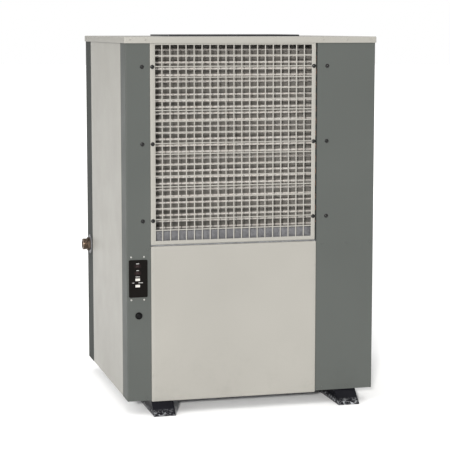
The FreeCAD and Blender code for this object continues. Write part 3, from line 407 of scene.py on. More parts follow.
def finish(key):
    """One finish by its key, made the first time it is asked for."""
    look = bpy.context.scene.dehumidifier_look
    if key not in FINISHES:
        makers = {
            "light": lambda: powder_coat("light_powder_coat", look.light_paint),
            "mesh": lambda: powder_coat("mesh_powder_coat", look.mesh_paint, 0.4),
            "grey": lambda: powder_coat("grey_powder_coat", look.grey_paint, 0.5, specular=0.12),
            "post": lambda: powder_coat("post_powder_coat", shade(look.grey_paint, 0.55)[:3], 0.6,
                                        specular=0.05),
            "pillar_screw": lambda: powder_coat("pillar_screw_paint", shade(look.grey_paint, 0.8)[:3],
                                                0.4),
            "zinc": lambda: zinc_sheet("galvanised_sheet", (0.42, 0.43, 0.45)),
            "tray": lambda: zinc_sheet("tray_sheet", (0.105, 0.105, 0.112), 0.2),
            "runner": lambda: black_enamel("runner_enamel", (0.0045, 0.0045, 0.006), 0.026, 0.6,
                                           0.05, 0.0),
            "black": lambda: black_enamel("black_enamel", (0.016, 0.016, 0.018), 0.02, 0.2),
            "fins": lambda: bare_metal("fin_stock", look.fin_metal, 0.55, (1.0, 1.0, 0.15), (0.2, 0.17, 0.13),
                                       0.3, 0.3),
            "collars": lambda: bare_metal("tube_collars", look.collar_metal, 0.42, (0.1, 1.0, 1.0),
                                          (0.4, 0.3, 0.24), 0.3, 0.45),
            "copper": lambda: bare_metal("copper_tube", (0.72, 0.33, 0.2), 0.32, (1, 1, 1),
                                         (0.25, 0.12, 0.07), 0.45),
            "bronze": lambda: bare_metal("aged_bronze", (0.135, 0.100, 0.075), 0.3, (0.2, 1, 1),
                                         (0.06, 0.045, 0.03), 0.5),
            "steel": lambda: bare_metal("plated_screws", (0.74, 0.73, 0.7), 0.3, (1, 1, 1),
                                        (0.4, 0.38, 0.33), 0.25),
            "dull_zinc": lambda: bare_metal("dull_zinc_screws", (0.30, 0.30, 0.285), 0.45,
                                            amount=0.2, metallic=0.4),
            "screw": lambda: moulded_plastic("black_oxide", (0.005, 0.005, 0.005), 0.22, 1400.0, 0.3),
            "motor": lambda: powder_coat("motor_enamel", (0.05, 0.06, 0.075), 0.35),
            "rubber": lambda: moulded_plastic("black_rubber", (0.02, 0.02, 0.02), 0.75, 500.0),
            "device": lambda: moulded_plastic("black_moulding", (0.004, 0.004, 0.004), 0.4, specular=0.1),
            "fascia": lambda: moulded_plastic("fascia_sheet", look.fascia, 0.4, 1800.0, 0.05),
            "window": lambda: moulded_plastic("display_window", (0.007, 0.003, 0.003), 0.2, 3000.0, 0.15),
            "digits": lambda: lit_segments("display_digits", (0.028, 0.013, 0.012), 0.15),
            "legend": lambda: moulded_plastic("legend_ink", (0.33, 0.325, 0.315), 0.5, 2500.0, 0.2),
            "key": lambda: moulded_plastic("key_moulding", (0.42, 0.41, 0.385), 0.36, 1600.0),
        }
        FINISHES[key] = makers[key]()
    return FINISHES[key]


# ------------------------------------------------------------------ settings
def a_length(name, description, default):
    return bpy.props.FloatProperty(name=name, description=description, default=default, unit="LENGTH")


def a_colour(name, description, default):
    return bpy.props.FloatVectorProperty(name=name, description=description, default=default,
                                         subtype="COLOR")


def an_angle(name, description, degrees):
    return bpy.props.FloatProperty(name=name, description=description, default=math.radians(degrees),
                                   subtype="ANGLE")


def a_strength(name, description, default):
    return bpy.props.FloatProperty(name=name, description=description, default=default)


class CaseSettings(bpy.types.PropertyGroup):
    """Sizes of the folded sheet parts."""

    sheet: a_length("Sheet", "Thickness of the case's sheet", 0.002)
    fold: a_length("Fold", "Outside radius of a folded edge", 0.003)
    crown: a_length("Crown", "How far a large panel bulges in its middle", 0.0006)
    seam: a_length("Corner", "Radius of a panel's corners", 0.002)


class IntakeSettings(bpy.types.PropertyGroup):
    """Sizes of the intake's mesh and coil."""

    wire: a_length("Wire", "Radius of the mesh's wires", 0.0024)
    fin_pitch: a_length("Fin pitch", "Distance from fin to fin", 0.0042)
    fin_sheet: a_length("Fin sheet", "Thickness of a fin", 0.0004)
    collar: a_length("Collar", "Outside radius of the tube collars", 0.0051)
    row_set: a_length("First row", "First tube row behind the fins' front edge", 0.0049)
    row_pitch: a_length("Row pitch", "Distance between the two tube rows", 0.022)


class LookSettings(bpy.types.PropertyGroup):
    """Colours of the finishes."""

    light_paint: a_colour("Light paint", "Panels and cover", (0.226, 0.219, 0.199))
    mesh_paint: a_colour("Mesh paint", "Intake mesh", (0.244, 0.235, 0.215))
    grey_paint: a_colour("Grey paint", "Front pillars and rear posts", (0.060, 0.065, 0.061))
    fin_metal: a_colour("Fin metal", "Fin sheets", (0.36, 0.345, 0.32))
    collar_metal: a_colour("Collar metal", "Collars round the tubes", (0.44, 0.42, 0.395))
    fascia: a_colour("Fascia", "Control panel", (0.0042, 0.0036, 0.0032))


class StageSettings(bpy.types.PropertyGroup):
    """Camera, lights and floor."""

    lens: bpy.props.FloatProperty(name="Lens", description="Focal length", default=124.85, unit="CAMERA")
    camera_at: bpy.props.FloatVectorProperty(name="Camera", description="Camera position", subtype="XYZ",
                                             default=(-1.6606, -6.4592, 1.5372))
    camera_yaw: an_angle("Yaw", "Turn of the camera to its right", 14.60)
    camera_pitch: an_angle("Pitch", "Tilt of the camera downwards", 7.18)
    key_side: an_angle("Key side", "Angle of the key light to the left of the front", 22.6)
    key_rise: an_angle("Key rise", "Angle of the key light above the horizon", 16.0)
    key: a_strength("Key", "Strength of the key light", 4.1)
    fill: a_strength("Fill", "Strength of the broad side light", 1.0)
    low_sky: a_strength("Low sky", "Brightness of the surroundings at eye level", 0.25)
    high_sky: a_strength("High sky", "Brightness of the surroundings overhead", 1.5)


# ------------------------------------------------------------------ operators
class DEHUMIDIFIER_OT_stage(bpy.types.Operator):
    """Makes the camera, the lights, the surroundings and the pale floor"""

    bl_idname = "dehumidifier.stage"
    bl_label = "Stage"

    def execute(self, context):
        stage = context.scene.dehumidifier_stage
        data = bpy.data.cameras.new("camera")
        data.lens = stage.lens
        data.sensor_width = 36.0
        data.clip_end = 200.0
        camera = bpy.data.objects.new("camera", data)
        camera.location = stage.camera_at
        camera.rotation_euler = (math.pi / 2 - stage.camera_pitch, 0.0, -stage.camera_yaw)
        context.scene.collection.objects.link(camera)
        context.scene.camera = camera
        self.sun(context, "key_light", stage.key, stage.key_side, stage.key_rise, math.radians(4.0),
                 (1.0, 0.985, 0.96))
        side, rise, spread = math.radians(80.0), math.radians(25.0), math.radians(50.0)
        self.sun(context, "side_light", stage.fill, side, rise, spread, (0.98, 0.99, 1.0))
        self.surroundings(context, stage)
        context.scene.view_settings.view_transform = "Standard"
        self.floor(context)
        return {"FINISHED"}

    @staticmethod
    def sun(context, name, energy, side, rise, spread, colour):
        """A far light whose rays come from the left of the front by side, and from above by rise."""
        light = bpy.data.lights.new(name, "SUN")
        light.energy, light.angle, light.color = energy, spread, colour
        lamp = bpy.data.objects.new(name, light)
        lamp.rotation_euler = (math.pi / 2 - rise, 0.0, -side)
        context.scene.collection.objects.link(lamp)

    @staticmethod
    def surroundings(context, stage):
        """White to look at; what lights the object grows from low_sky at eye level to high_sky overhead."""
        world = bpy.data.worlds.new("surroundings")
        world.use_nodes = True
        nodes, links = world.node_tree.nodes, world.node_tree.links
        sky = nodes["Background"]
        direction = nodes.new("ShaderNodeTexCoord").outputs["Generated"]
        split = nodes.new("ShaderNodeSeparateXYZ")
        links.new(direction, split.inputs[0])
        rise = nodes.new("ShaderNodeMapRange")
        rise.inputs["To Min"].default_value = stage.low_sky
        rise.inputs["To Max"].default_value = stage.high_sky
        links.new(split.outputs["Z"], rise.inputs["Value"])
        seen = nodes.new("ShaderNodeMix")
        links.new(nodes.new("ShaderNodeLightPath").outputs["Is Camera Ray"], seen.inputs[0])
        links.new(rise.outputs[0], seen.inputs[2])
        seen.inputs[3].default_value = 1.0
        links.new(seen.outputs[0], sky.inputs["Strength"])
        sky.inputs["Color"].default_value = (1.0, 1.0, 1.0, 1.0)
        context.scene.world = world

    @staticmethod
    def floor(context):
        """A disc: rings of growing radius about the origin, at height nought."""
        radius = np.array([1.0, 3.0, 8.0, 20.0, 60.0])
        count = 64
        turn = np.arange(count) * 2 * math.pi / count
        rings = np.stack([radius[:, None] * np.cos(turn), radius[:, None] * np.sin(turn),
                          np.zeros((len(radius), count))], -1)
        i, j = np.arange(len(radius) - 1)[:, None], np.arange(count)[None, :]
        beside = (j + 1) % count
        quads = np.stack([i * count + j, (i + 1) * count + j, (i + 1) * count + beside,
                          i * count + beside], -1)
        mesh = bpy.data.meshes.new("floor")
        mesh.from_pydata(rings.reshape(-1, 3).tolist(), [],
                         quads.reshape(-1, 4).tolist() + [list(range(count))])
        f = Finish("studio_floor", (0.93, 0.93, 0.925), 0.65)
        f.tint(f.mixed(f.noise(1.5, 3.0), (0.925, 0.925, 0.92, 1), (0.935, 0.935, 0.93, 1)))
        mesh.materials.append(f.material)
        floor = bpy.data.objects.new("floor", mesh)
        context.scene.collection.objects.link(floor)


def panel_shape(node, face, case):
    """A folded panel: slightly crowned face, folded edge, flange, and the inside at sheet thickness.

    The face's loops shrink towards the middle while they rise by crown times one minus the square
    of their share of the way.
    """
    low, high = box_of(node)
    normal, across, up, _ = FACING[face]
    half = (high - low) / 2
    deep = (high - low)[normal]
    reach = min(half[across], half[up])
    shares = np.linspace(0.06, 0.94, 7)
    face_rows = [(reach * (1 - s), -case.crown * (1 - s * s)) for s in shares]
    bend = fold(case.fold)
    inner = fold(case.fold - case.sheet, case.sheet, case.sheet)
    profile = face_rows + bend + [(0.0, deep), (case.sheet, deep)] + inner[::-1]
    profile += [(reach * 0.4, case.sheet), (reach * 0.94, case.sheet)]
    return loft(facing_loops(node, face, profile, case.seam + 0.0015))


class DEHUMIDIFIER_OT_case(bpy.types.Operator):
    """Makes the light panels, the cover and the dressed pillars"""

    bl_idname = "dehumidifier.case"
    bl_label = "Case"

    def execute(self, context):
        case = context.scene.dehumidifier_case
        panels = {"lower_front_panel": "-y", "left_side_panel": "-x", "right_side_panel": "+x",
                  "rear_panel": "+y"}
        for node, face in panels.items():
            piece(node + "_skin", panel_shape(node, face, case), finish("light"), replaces=[node])
        self.cover(case)
        dress(finish("grey"), "front_left_pillar", "front_right_pillar")
        dress(finish("post"), "rear_left_post", "rear_right_post")
        return {"FINISHED"}

    @staticmethod
    def cover(case):
        """Top cover: one ring of sheet from the outlet neck over the fold to the skirt and back inside."""
        low, high = box_of("top_cover")
        lip_low, lip_high = box_of("outlet_frame")
        half = (high - low) / 2
        neck = np.array([0.262, 0.156])
        top, skirt = high[2], low[2]
        thick, radius = case.sheet, case.fold
        rows = [(neck, 0.003, top - thick), (neck, 0.003, top)]
        rows += [(neck + (half[:2] - neck) * s, 0.003 + 0.002 * s, top) for s in (0.4, 0.8)]
        rows += [(half[:2] - inset, 0.005, top - depth) for inset, depth in fold(radius)]
        rows += [(half[:2], 0.005, skirt), (half[:2] - thick, 0.004, skirt)]
        inner = fold(radius - thick, thick, thick)[::-1]
        rows += [(half[:2] - inset, 0.004, top - depth) for inset, depth in inner]
        rows += [(neck + (half[:2] - neck) * 0.4, 0.003, top - thick)]
        middle = (low + high) / 2
        outlet = (lip_low + lip_high) / 2
        loops = []
        for size, corner, z in rows:
            share = np.clip((size[0] - neck[0]) / (half[0] - neck[0]), 0, 1)
            centre = outlet[:2] * (1 - share) + middle[:2] * share
            flat = rounded_rectangle(size[0], size[1], corner) + centre
            loops.append(level(flat, z))
        piece("cover_skin", loft(np.array(loops), ring=True), finish("light"), replaces=["top_cover"])


class DEHUMIDIFIER_OT_intake(bpy.types.Operator):
    """Makes the grille frame, its mesh, the finned coils and the drip tray's finish"""

    bl_idname = "dehumidifier.intake"
    bl_label = "Intake"

    def execute(self, context):
        case = context.scene.dehumidifier_case
        intake = context.scene.dehumidifier_intake
        self.frame_ring(case)
        self.mesh(intake)
        for name in ("evaporator", "condenser"):
            self.fins(name, intake)
        dress(finish("tray"), "drip_tray")
        dress(finish("zinc"), "evaporator_end_plates", "condenser_end_plates")
        dress(finish("copper"), "evaporator_tubes", "condenser_tubes")
        return {"FINISHED"}

    @staticmethod
    def frame_ring(case):
        """Grille frame: a ring of sheet from the outer flange over the fold and face to the opening."""
        low, high = box_of("grille_frame")
        left, bottom, right, top = 0.021, 0.016, 0.018, 0.029
        opening_low = np.array([low[0] + left, low[2] + bottom])
        opening_high = np.array([high[0] - right, high[2] - top])
        outer_mid, outer_half = (low + high) / 2, (high - low) / 2
        hole_mid = (opening_low + opening_high) / 2
        hole_half = (opening_high - opening_low) / 2
        front, deep, thick = low[1], high[1] - low[1], case.sheet
        rows = [(0, -inset, depth) for inset, depth in fold(case.fold)[::-1]]
        rows = [(0, 0.0, deep)] + rows
        rows += [(1, 0.0015, 0.0), (1, 0.0004, 0.0004), (1, 0.0, 0.0014), (1, 0.0, thick)]
        rows += [(0, -case.fold, thick), (0, -thick, case.fold), (0, -thick, deep)]
        loops = []
        for inner, grow, depth in rows:
            half = (hole_half if inner else outer_half[[0, 2]]) + grow
            centre = hole_mid if inner else outer_mid[[0, 2]]
            flat = rounded_rectangle(half[0], half[1], 0.0025) + centre
            loops.append(upright(flat, front + depth))
        piece("grille_frame_skin", loft(np.array(loops), ring=True), finish("light"),
              replaces=["grille_frame"])

    @staticmethod
    def mesh(intake):
        """Welded mesh: upright round wires in front, level ones behind, pressed a little together."""
        low, high = box_of("grille_mesh")
        uprights, levels = 19, 17
        first_x, step_x, first_z, step_z = 0.0487, 0.03245, 0.7427, 0.04308
        x = box_of("grille_frame")[0][0] + first_x + step_x * np.arange(uprights)
        z = first_z + step_z * np.arange(levels)
        r = intake.wire
        y_front, y_back = low[1] + r * 0.85, high[1] - r * 0.85
        fill = np.ones_like
        up = rods(np.column_stack([x, fill(x) * y_front, fill(x) * low[2]]),
                  np.column_stack([x, fill(x) * y_front, fill(x) * high[2]]), r)
        across = rods(np.column_stack([fill(z) * low[0], fill(z) * y_back, z]),
                      np.column_stack([fill(z) * high[0], fill(z) * y_back, z]), r)
        piece("grille_wires", joined([up, across]), finish("mesh"), replaces=["grille_mesh"])

    @staticmethod
    def fins(name, intake):
        """Fins: each is a rippled strip, x = place + ripple times a triangle wave of y, drawn up in z."""
        low, high = box_of(name + "_fins")
        count = int((high[0] - low[0] - 0.004) / intake.fin_pitch)
        waves = 9
        y = np.linspace(low[1], high[1], waves)
        ripple = 0.0005 * (np.arange(waves) % 2)
        half = intake.fin_sheet / 2
        outline = np.concatenate([np.column_stack([ripple + half, y]),
                                  np.column_stack([ripple - half, y])[::-1]])
        loops = np.stack([level(outline, z) for z in (low[2], high[2])])
        one = loft(loops)
        start = low[0] + 0.002
        strips = copies(one, [(start + intake.fin_pitch * i, 0, 0) for i in range(count)])
        piece(name + "_fin_pack", strips, finish("fins"), replaces=[name + "_fins"])
        tubes, first_z, pitch = 29, 0.743, 0.0254
        z = first_z + pitch * np.arange(tubes)
        collars = []
        for y_row in (low[1] + intake.row_set, low[1] + intake.row_set + intake.row_pitch):
            fill = np.ones_like(z)
            collars.append(rods(np.column_stack([fill * (low[0] + 0.0005), fill * y_row, z]),
                                np.column_stack([fill * (high[0] - 0.0005), fill * y_row, z]),
                                intake.collar, 10))
        piece(name + "_collars", joined(collars), finish("collars"))


def rounded_polygon(corners, radii, steps=5):
    """Closed outline with each corner turned on an arc that touches both its sides.

    The arc's centre lies on the corner's bisector at radius over the sine of half its angle.
    """
    corners = np.asarray(corners, float)
    points = []
    for k, corner in enumerate(corners):
        back = corners[k - 1] - corner
        ahead = corners[(k + 1) % len(corners)] - corner
        back, ahead = back / np.linalg.norm(back), ahead / np.linalg.norm(ahead)
        half = math.acos(np.clip(back @ ahead, -1, 1)) / 2
        reach = radii[k] / math.tan(half)
        bisector = (back + ahead) / np.linalg.norm(back + ahead)
        centre = corner + bisector * radii[k] / math.sin(half)
        first, last = corner + back * reach - centre, corner + ahead * reach - centre
        share = np.linspace(0, 1, steps)[:, None]
        arc = first * (1 - share) + last * share
        points.append(centre + arc / np.linalg.norm(arc, axis=1, keepdims=True) * radii[k])
    return np.concatenate(points)


class DEHUMIDIFIER_OT_runners(bpy.types.Operator):
    """Makes the two folded runners and dresses the base"""

    bl_idname = "dehumidifier.runners"
    bl_label = "Runners"

    def execute(self, context):
        for node in ("left_skid", "right_skid"):
            low, high = box_of(node)
            piece(node + "_skin", self.shape(low, high), finish("runner"), replaces=[node])
        dress(finish("zinc"), "base_pan", "middle_deck", "blower_shelf")
        return {"FINISHED"}

    @staticmethod
    def shape(low, high):
        """Side outline with rounded lower corners, carried across the runner; its ends are drawn in
        by the edge radius."""
        run, corner, soft = 0.062, 0.003, 0.0016
        toe = math.atan2(high[2] - low[2], run) / 2
        over = corner * (1 / math.tan(toe) - 1)
        front, back = low[1] - over, high[1] + over
        corners = np.array([(front, low[2]), (back, low[2]), (back - run, high[2]), (front + run, high[2])])
        middle = corners.mean(0)
        loops = []
        for x, inset in ((low[0], soft), (low[0] + soft * 0.3, soft * 0.3), (low[0] + soft, 0.0),
                         (high[0] - soft, 0.0), (high[0] - soft * 0.3, soft * 0.3), (high[0], soft)):
            drawn = corners + np.sign(middle - corners) * inset * [1.8, 1.0]
            outline = rounded_polygon(drawn, [corner - inset, corner - inset, 0.0006, 0.0006])
            loops.append(np.column_stack([np.full(len(outline), x), outline]))
        return loft(np.array(loops))


class DEHUMIDIFIER_OT_outlet(bpy.types.Operator):
    """Makes the outlet's frame and wire guard"""

    bl_idname = "dehumidifier.outlet"
    bl_label = "Outlet"

    def execute(self, context):
        low, high = box_of("outlet_frame")
        middle, half = (low + high) / 2, (high - low) / 2
        rim, soft, rise = 0.026, 0.0015, 0.007
        top, cover_top = high[2], high[2] - rise
        outer, inner = half[:2], half[:2] - rim
        rows = [(outer, cover_top), (outer, top - soft), (outer - soft * 0.3, top - soft * 0.3),
                (outer - soft, top), (inner + soft, top), (inner + soft * 0.3, top - soft * 0.3),
                (inner, top - soft), (inner, low[2]), (inner + 0.003, low[2]), (inner + 0.003, cover_top)]
        loops = []
        for size, z in rows:
            flat = rounded_rectangle(size[0], size[1], 0.004) + middle[:2]
            loops.append(level(flat, z))
        piece("outlet_rim", loft(np.array(loops), ring=True), finish("black"), replaces=["outlet_frame"])
        self.guard(middle)
        return {"FINISHED"}

    @staticmethod
    def guard(middle):
        """Guard: round wires both ways on a square pitch."""
        low, high = box_of("outlet_guard")
        r, pitch = 0.0016, 0.024
        half = (high - low)[:2] / 2
        columns = int(half[0] / pitch)
        lines = int(half[1] / pitch)
        x = middle[0] + pitch * np.arange(-columns, columns + 1)
        y = middle[1] + pitch * np.arange(-lines, lines + 1)
        z_top, z_low = high[2] - r, low[2] + r
        one, two = np.ones_like(x), np.ones_like(y)
        along = rods(np.column_stack([x, one * low[1], one * z_top]),
                     np.column_stack([x, one * high[1], one * z_top]), r)
        across = rods(np.column_stack([two * low[0], y, two * z_low]),
                      np.column_stack([two * high[0], y, two * z_low]), r)
        piece("outlet_wires", joined([along, across]), finish("black"), replaces=["outlet_guard"])


def button_shape(low, high, corner, crown):
    """Key cap: rounded rectangles that shrink towards the middle while they sink to a shallow dish."""
    middle, half = (low + high) / 2, (high - low) / 2
    soft = 0.0009
    rows = [(0.0, high[1]), (0.0, low[1] + soft), (soft * 0.3, low[1] + soft * 0.3), (soft, low[1])]
    rows += [(soft + (half[2] - soft) * s, low[1] + crown * s * (2 - s)) for s in (0.3, 0.6, 0.9)]
    loops = []
    for inset, y in rows:
        flat = rounded_rectangle(half[0] - inset, half[2] - inset, max(corner - inset, 0.0002))
        loops.append(upright(flat + middle[[0, 2]], y))
    return loft(np.array(loops))


SEGMENTS = {"a": (0, 2, 1), "b": (1, 1.5, 0), "c": (1, 0.5, 0), "d": (0, 0, 1), "e": (-1, 0.5, 0),
            "f": (-1, 1.5, 0), "g": (0, 1, 1)}
DIGITS = {"0": "abcdef", "2": "abged", "5": "afgcd"}


def digit_shape(text, left, base, front, tall):
    """Seven-segment figures: six-sided bars, flat-topped, each drawn in at both ends to a point."""
    unit = tall / 2
    wide, thick = unit * 0.46, unit * 0.13
    shapes = []
    for place, sign in enumerate(text):
        centre = left + (place + 0.5) * unit * 1.55
        for key in DIGITS[sign]:
            side, level, flat = SEGMENTS[key]
            reach = (wide if flat else unit / 2) - thick * 0.6
            bar = np.array([(-reach, 0), (-reach + thick, thick), (reach - thick, thick), (reach, 0),
                            (reach - thick, -thick), (-reach + thick, -thick)])
            if not flat:
                bar = bar[:, ::-1]
            x = centre + side * wide + bar[:, 0]
            z = base + level * unit + bar[:, 1]
            loops = [np.column_stack([x, np.full(6, front + y), z]) for y in (0.0, 0.0002)]
            shapes.append(loft(np.array(loops)))
    return joined(shapes)


def flat_marks(outlines, front, thick=0.00012):
    """Printed marks: each outline, a list of (x, z), as a thin closed plate at one depth."""
    shapes = []
    for outline in outlines:
        shapes.append(loft(np.array([upright(outline, y) for y in (front - thick, front + 0.0001)])))
    return joined(shapes)


class DEHUMIDIFIER_OT_controls(bpy.types.Operator):
    """Makes the control panel's keys, figures and marks, the switch and their finishes"""

    bl_idname = "dehumidifier.controls"
    bl_label = "Controls"

    def execute(self, context):
        dress(finish("fascia"), "control_panel")
        dress(finish("window"), "displays")
        dress(finish("device"), "control_housing", "switch_body")
        edge, stem, dish = 0.0016, 0.0045, 0.0006
        for node, body in (("up_button", "up_key"), ("down_button", "down_key")):
            low, high = box_of(node)
            low, high = low + [edge, 0, edge], high - [edge, stem, edge]
            piece(node + "_cap", button_shape(low, high, edge, dish), finish("key"), body=body,
                  replaces=[node])
        self.figures()
        self.marks()
        self.switch()
        return {"FINISHED"}

    @staticmethod
    def figures():
        """Two figures on each display."""
        low, high = box_of("displays")
        left, front, tall, lift = low[0] + 0.0085, low[1] - 0.0001, 0.0068, 0.0036
        shapes = [digit_shape("55", left, low[2] + lift, front, tall),
                  digit_shape("20", left, high[2] - (tall + lift), front, tall)]
        piece("display_figures", joined(shapes), finish("digits"))

    @staticmethod
    def marks():
        """Plain rounded bars: three by the displays, two between the keys."""
        front = box_of("control_panel")[0][1]
        show_low, show_high = box_of("displays")
        up_low, up_high = box_of("up_button")
        down_high = box_of("down_button")[1]
        show_x = (show_low[0] + show_high[0]) / 2
        key_x = (up_low[0] + up_high[0]) / 2
        gap_z = (up_low[2] + down_high[2]) / 2
        middle_z = (show_low[2] + show_high[2]) / 2
        tall = 0.0024
        bars = [(show_x, show_high[2] + 0.0029, 0.0125), (show_x, middle_z - 0.0032, 0.0103),
                (show_x, show_low[2] - 0.0074, 0.017), (key_x - 0.0174, gap_z, 0.0076),
                (key_x + 0.012, gap_z, 0.0178)]
        signs = [rounded_rectangle(wide / 2, tall / 2, tall * 0.3, 2) + [x, z] for x, z, wide in bars]
        piece("control_marks", flat_marks(signs, front), finish("legend"))

    @staticmethod
    def switch():
        """Bezel ring with a turned edge; the knob is a skirted disc with a rounded grip bar."""
        low, high = box_of("switch_knob")
        centre = np.array([(low[0] + high[0]) / 2, 0.0, (low[2] + high[2]) / 2])
        face = box_of("front_left_pillar")[0][1]
        ring = [(0.0052, 0.0), (0.0142, 0.0), (0.0142, -0.0014), (0.0136, -0.0024), (0.0126, -0.003),
                (0.0112, -0.003), (0.0108, -0.0024), (0.0052, -0.0024), (0.0052, 0.0)]
        shape = lathe(ring, centre + [0, face, 0], "y", 48)
        piece("switch_bezel", shape, finish("device"))
        disc = [(0.0001, -0.0031), (0.0104, -0.0031), (0.0104, -0.0058), (0.0098, -0.0068),
                (0.0086, -0.0072), (0.0001, -0.0072)]
        disc_shape = lathe(disc, centre + [0, face, 0], "y", 48)
        half = np.array([0.0027, 0.0092])
        rows = [(0.0, -0.006), (0.0, -0.0136), (0.0003, -0.0144), (0.0009, -0.015), (0.002, -0.015)]
        loops = []
        for inset, depth in rows:
            flat = rounded_rectangle(half[0] - inset, half[1] - inset, max(0.0025 - inset, 0.0003))
            loops.append(upright(flat + centre[[0, 2]], face + depth))
        piece("switch_grip", joined([disc_shape, loft(np.array(loops))]), finish("device"), body="selector",
              replaces=["switch_knob"])

class DEHUMIDIFIER_OT_fixings(bpy.types.Operator):
    """Makes the dome screws, the drain fitting, its washer and the cable gland"""

    bl_idname = "dehumidifier.fixings"
    bl_label = "Fixings"

    def execute(self, context):
        dress(finish("steel"), "compressor_bolts")
        self.screws()
        self.domes()
        self.drain()
        self.gland()
        return {"FINISHED"}

    @staticmethod
    def screws():
        """Pan heads on the pillars, the lower panel, the cover's skirt and round the control panel.

        The head's height falls with the square of its radius; the recess is a cross sunk in it.
        """
        cover_low, cover_high = box_of("top_cover")
        middle = (cover_low[0] + cover_high[0]) / 2
        radius, tall = 0.0036, 0.0022
        crown = [(radius * s, 0.0004 - tall + 0.0014 * s * s) for s in (1.0, 0.9, 0.75, 0.6)]
        profile = [(0.0001, 0.0), (radius, 0.0)] + crown
        profile += [(0.0022, -tall), (0.0021, -tall + 0.0002), (0.0015, -tall + 0.0012),
                    (0.0001, -tall + 0.0014)]
        one = lathe(profile, (0, 0, 0), "y", 24, crosses=(7, 8))
        pillar = [(x, 0.668) for x in (-0.430, 0.295, 0.399, 0.500)]
        pillar += [(-0.439, 0.068)] + [(x, 0.0705) for x in (0.298, 0.404, 0.505)]
        panel = [(x, z) for x in (-0.411, 0.263) for z in (0.1576, 0.5805)]
        skirt = [(x, 1.493) for x in (-0.497, -0.435, 0.2926, 0.394, 0.494)]
        round_panel = [(-0.4714 + x, 0.5535 + z) for x in (-0.026, 0.026) for z in (-0.086, 0.086)]
        rows = (("pillar_screws", pillar, "front_left_pillar", "pillar_screw", ["case_screws"]),
                ("panel_screws", panel, "lower_front_panel", "light", ()),
                ("cover_screws", skirt, "top_cover", "light", ()),
                ("fascia_screws", round_panel, "front_left_pillar", "dull_zinc", ()))
        for name, spots, sheet, look, replaced in rows:
            face = box_of(sheet)[0][1]
            heads = copies(one, [(middle + x, face, z) for x, z in spots])
            piece(name, heads, finish(look), replaces=replaced)

    @staticmethod
    def domes():
        """Dome head: its height falls with the square of the radius; a six-sided socket is sunk in it."""
        face = box_of("front_left_pillar")[0][1]
        radius, height = 0.0082, 0.0046
        edge = 0.0007
        rim = [(radius * s, -edge - (height - edge) * (1 - s * s))
               for s in (1.0, 0.93, 0.82, 0.66, 0.5, 0.4)]
        profile = [(0.0001, 0.0), (radius, 0.0)] + rim
        profile += [(0.0026, rim[-1][1]), (0.0025, -0.0022), (0.0001, -0.002)]
        flats = (len(profile) - 3, len(profile) - 2)
        one = lathe(profile, (0, 0, 0), "y", 30, flats)
        first_x = -0.449
        shift = (box_of("dome_screws")[0][0] + radius) - first_x
        spots = [(x + shift, face, z) for x in (first_x, 0.311, -0.4075, 0.2552)
                 for z in (0.781, 1.0855, 1.388)]
        piece("dome_heads", copies(one, spots), finish("screw"), replaces=["dome_screws"])

    @staticmethod
    def drain():
        """Fitting: hexagon with turned-off corners, then a threaded nose whose ridges are a zigzag
        of the radius along the axis, a rounded end, the bore, and the barb for the hose inside."""
        low, high = box_of("drain_fitting")
        washer_low, washer_high = box_of("drain_washer")
        centre = np.array([0.0, (low[1] + high[1]) / 2, (low[2] + high[2]) / 2])
        start, wall, tip = washer_low[0], washer_high[0], low[0]
        flat, grip, nose, barb, bore, turned = 0.026, 0.013, 0.025, 0.017, 0.014, 0.0012
        hexagon = [(flat - turned, start), (flat, start - turned), (flat, start - grip + turned),
                   (flat - turned, start - grip)]
        nose_start = start - grip - turned
        turns = 5
        ridges = np.linspace(nose_start, tip + 0.005, 2 * turns + 1)
        thread = [(nose - (0.0013 if i % 2 else 0.0), x) for i, x in enumerate(ridges)]
        profile = [(bore, high[0]), (barb, high[0]), (barb, wall + 0.014), (nose - 0.0003, wall + 0.014),
                   (nose - 0.0003, start)] + hexagon + [(nose - 0.0016, nose_start)]
        profile += thread + [(nose, tip + 0.003), (nose - 0.001, tip + 0.001), (nose - 0.003, tip),
                             (bore + 0.003, tip), (bore + 0.001, tip + 0.0008), (bore, tip + 0.002),
                             (bore, high[0])]
        piece("drain_connector", lathe(profile, centre, "x", 48, flats=(6, 7)), finish("bronze"),
              replaces=["drain_fitting"])
        r = (washer_high[2] - washer_low[2]) / 2
        hole, turned = nose + 0.0002, 0.0005
        ring = [(hole, washer_high[0]), (r, washer_high[0]), (r, washer_low[0] + turned),
                (r - turned, washer_low[0]), (hole, washer_low[0]), (hole, washer_high[0])]
        piece("drain_plate", lathe(ring, centre, "x", 64), finish("tray"), replaces=["drain_washer"])
        dress(finish("bronze"), "drain_nut")
        dress(finish("rubber"), "drain_hose")

    @staticmethod
    def gland():
        """Gland: hexagon, domed cap and bore."""
        low, high = box_of("cable_gland")
        centre = np.array([(low[0] + high[0]) / 2, 0.0, (low[2] + high[2]) / 2])
        wall = box_of("rear_panel")[1][1]
        profile = [(0.0065, low[1]), (0.012, low[1]), (0.012, wall), (0.014, wall), (0.015, wall + 0.001),
                   (0.015, wall + 0.006), (0.014, wall + 0.007), (0.012, wall + 0.0075),
                   (0.012, high[1] - 0.004), (0.0105, high[1] - 0.001), (0.0085, high[1]),
                   (0.0065, high[1]), (0.0065, low[1])]
        piece("gland", lathe(profile, centre, "y", 36, (4, 5)), finish("device"), replaces=["cable_gland"])


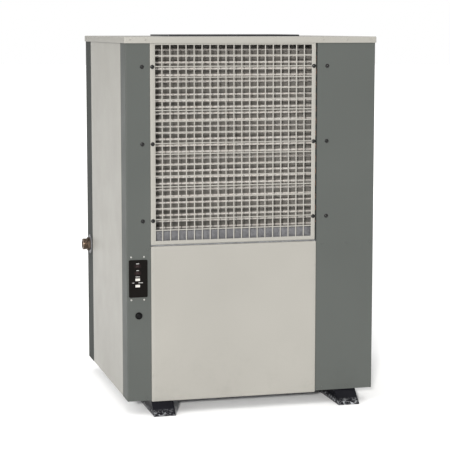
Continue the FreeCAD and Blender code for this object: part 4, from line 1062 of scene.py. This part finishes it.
class DEHUMIDIFIER_OT_machinery(bpy.types.Operator):
    """Dresses the blowers, the compressor, the lines and the electrical parts inside"""

    bl_idname = "dehumidifier.machinery"
    bl_label = "Machinery"

    def execute(self, context):
        dress(finish("zinc"), *[f"{side}_blower_{part}" for side in ("left", "right")
                                for part in ("scroll", "sides", "wheel")])
        dress(finish("motor"), "left_blower_motor", "right_blower_motor", "filter_drier")
        dress(finish("black"), "compressor", "liquid_receiver")
        dress(finish("rubber"), "compressor_mounts")
        dress(finish("copper"), "suction_line", "discharge_line", "liquid_line", "feed_lines")
        dress(finish("bronze"), "expansion_valve")
        dress(finish("light"), "electrical_box", "electrical_box_lid")
        dress(finish("device"), "contactors")
        return {"FINISHED"}


class DEHUMIDIFIER_PT_build(bpy.types.Panel):
    """Lists the steps and their sizes"""

    bl_idname = "DEHUMIDIFIER_PT_build"
    bl_label = "Dehumidifier"
    bl_space_type = "VIEW_3D"
    bl_region_type = "UI"
    bl_category = "Dehumidifier"

    def draw(self, context):
        column = self.layout.column()
        for step in STEPS:
            column.operator(step.bl_idname)
        for group in GROUPS:
            settings = getattr(context.scene, group)
            box = self.layout.box()
            for name in settings.__annotations__:
                box.prop(settings, name)


GROUPS = {"dehumidifier_case": CaseSettings, "dehumidifier_intake": IntakeSettings,
          "dehumidifier_look": LookSettings, "dehumidifier_stage": StageSettings}
STEPS = (DEHUMIDIFIER_OT_stage, DEHUMIDIFIER_OT_case, DEHUMIDIFIER_OT_intake, DEHUMIDIFIER_OT_runners,
         DEHUMIDIFIER_OT_outlet, DEHUMIDIFIER_OT_controls, DEHUMIDIFIER_OT_fixings,
         DEHUMIDIFIER_OT_machinery)


def register():
    for kind in (*GROUPS.values(), *STEPS, DEHUMIDIFIER_PT_build):
        bpy.utils.register_class(kind)
    for name, kind in GROUPS.items():
        setattr(bpy.types.Scene, name, bpy.props.PointerProperty(type=kind))


def unregister():
    for name in GROUPS:
        delattr(bpy.types.Scene, name)
    for kind in (DEHUMIDIFIER_PT_build, *reversed(STEPS), *GROUPS.values()):
        bpy.utils.unregister_class(kind)


def main():
    """Registers the add-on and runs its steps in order."""
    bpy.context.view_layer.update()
    register()
    steps = bpy.ops.dehumidifier
    for step in (steps.stage, steps.case, steps.intake, steps.runners, steps.outlet, steps.controls,
                 steps.fixings, steps.machinery):
        step()


if __name__ == "__main__":
    main()
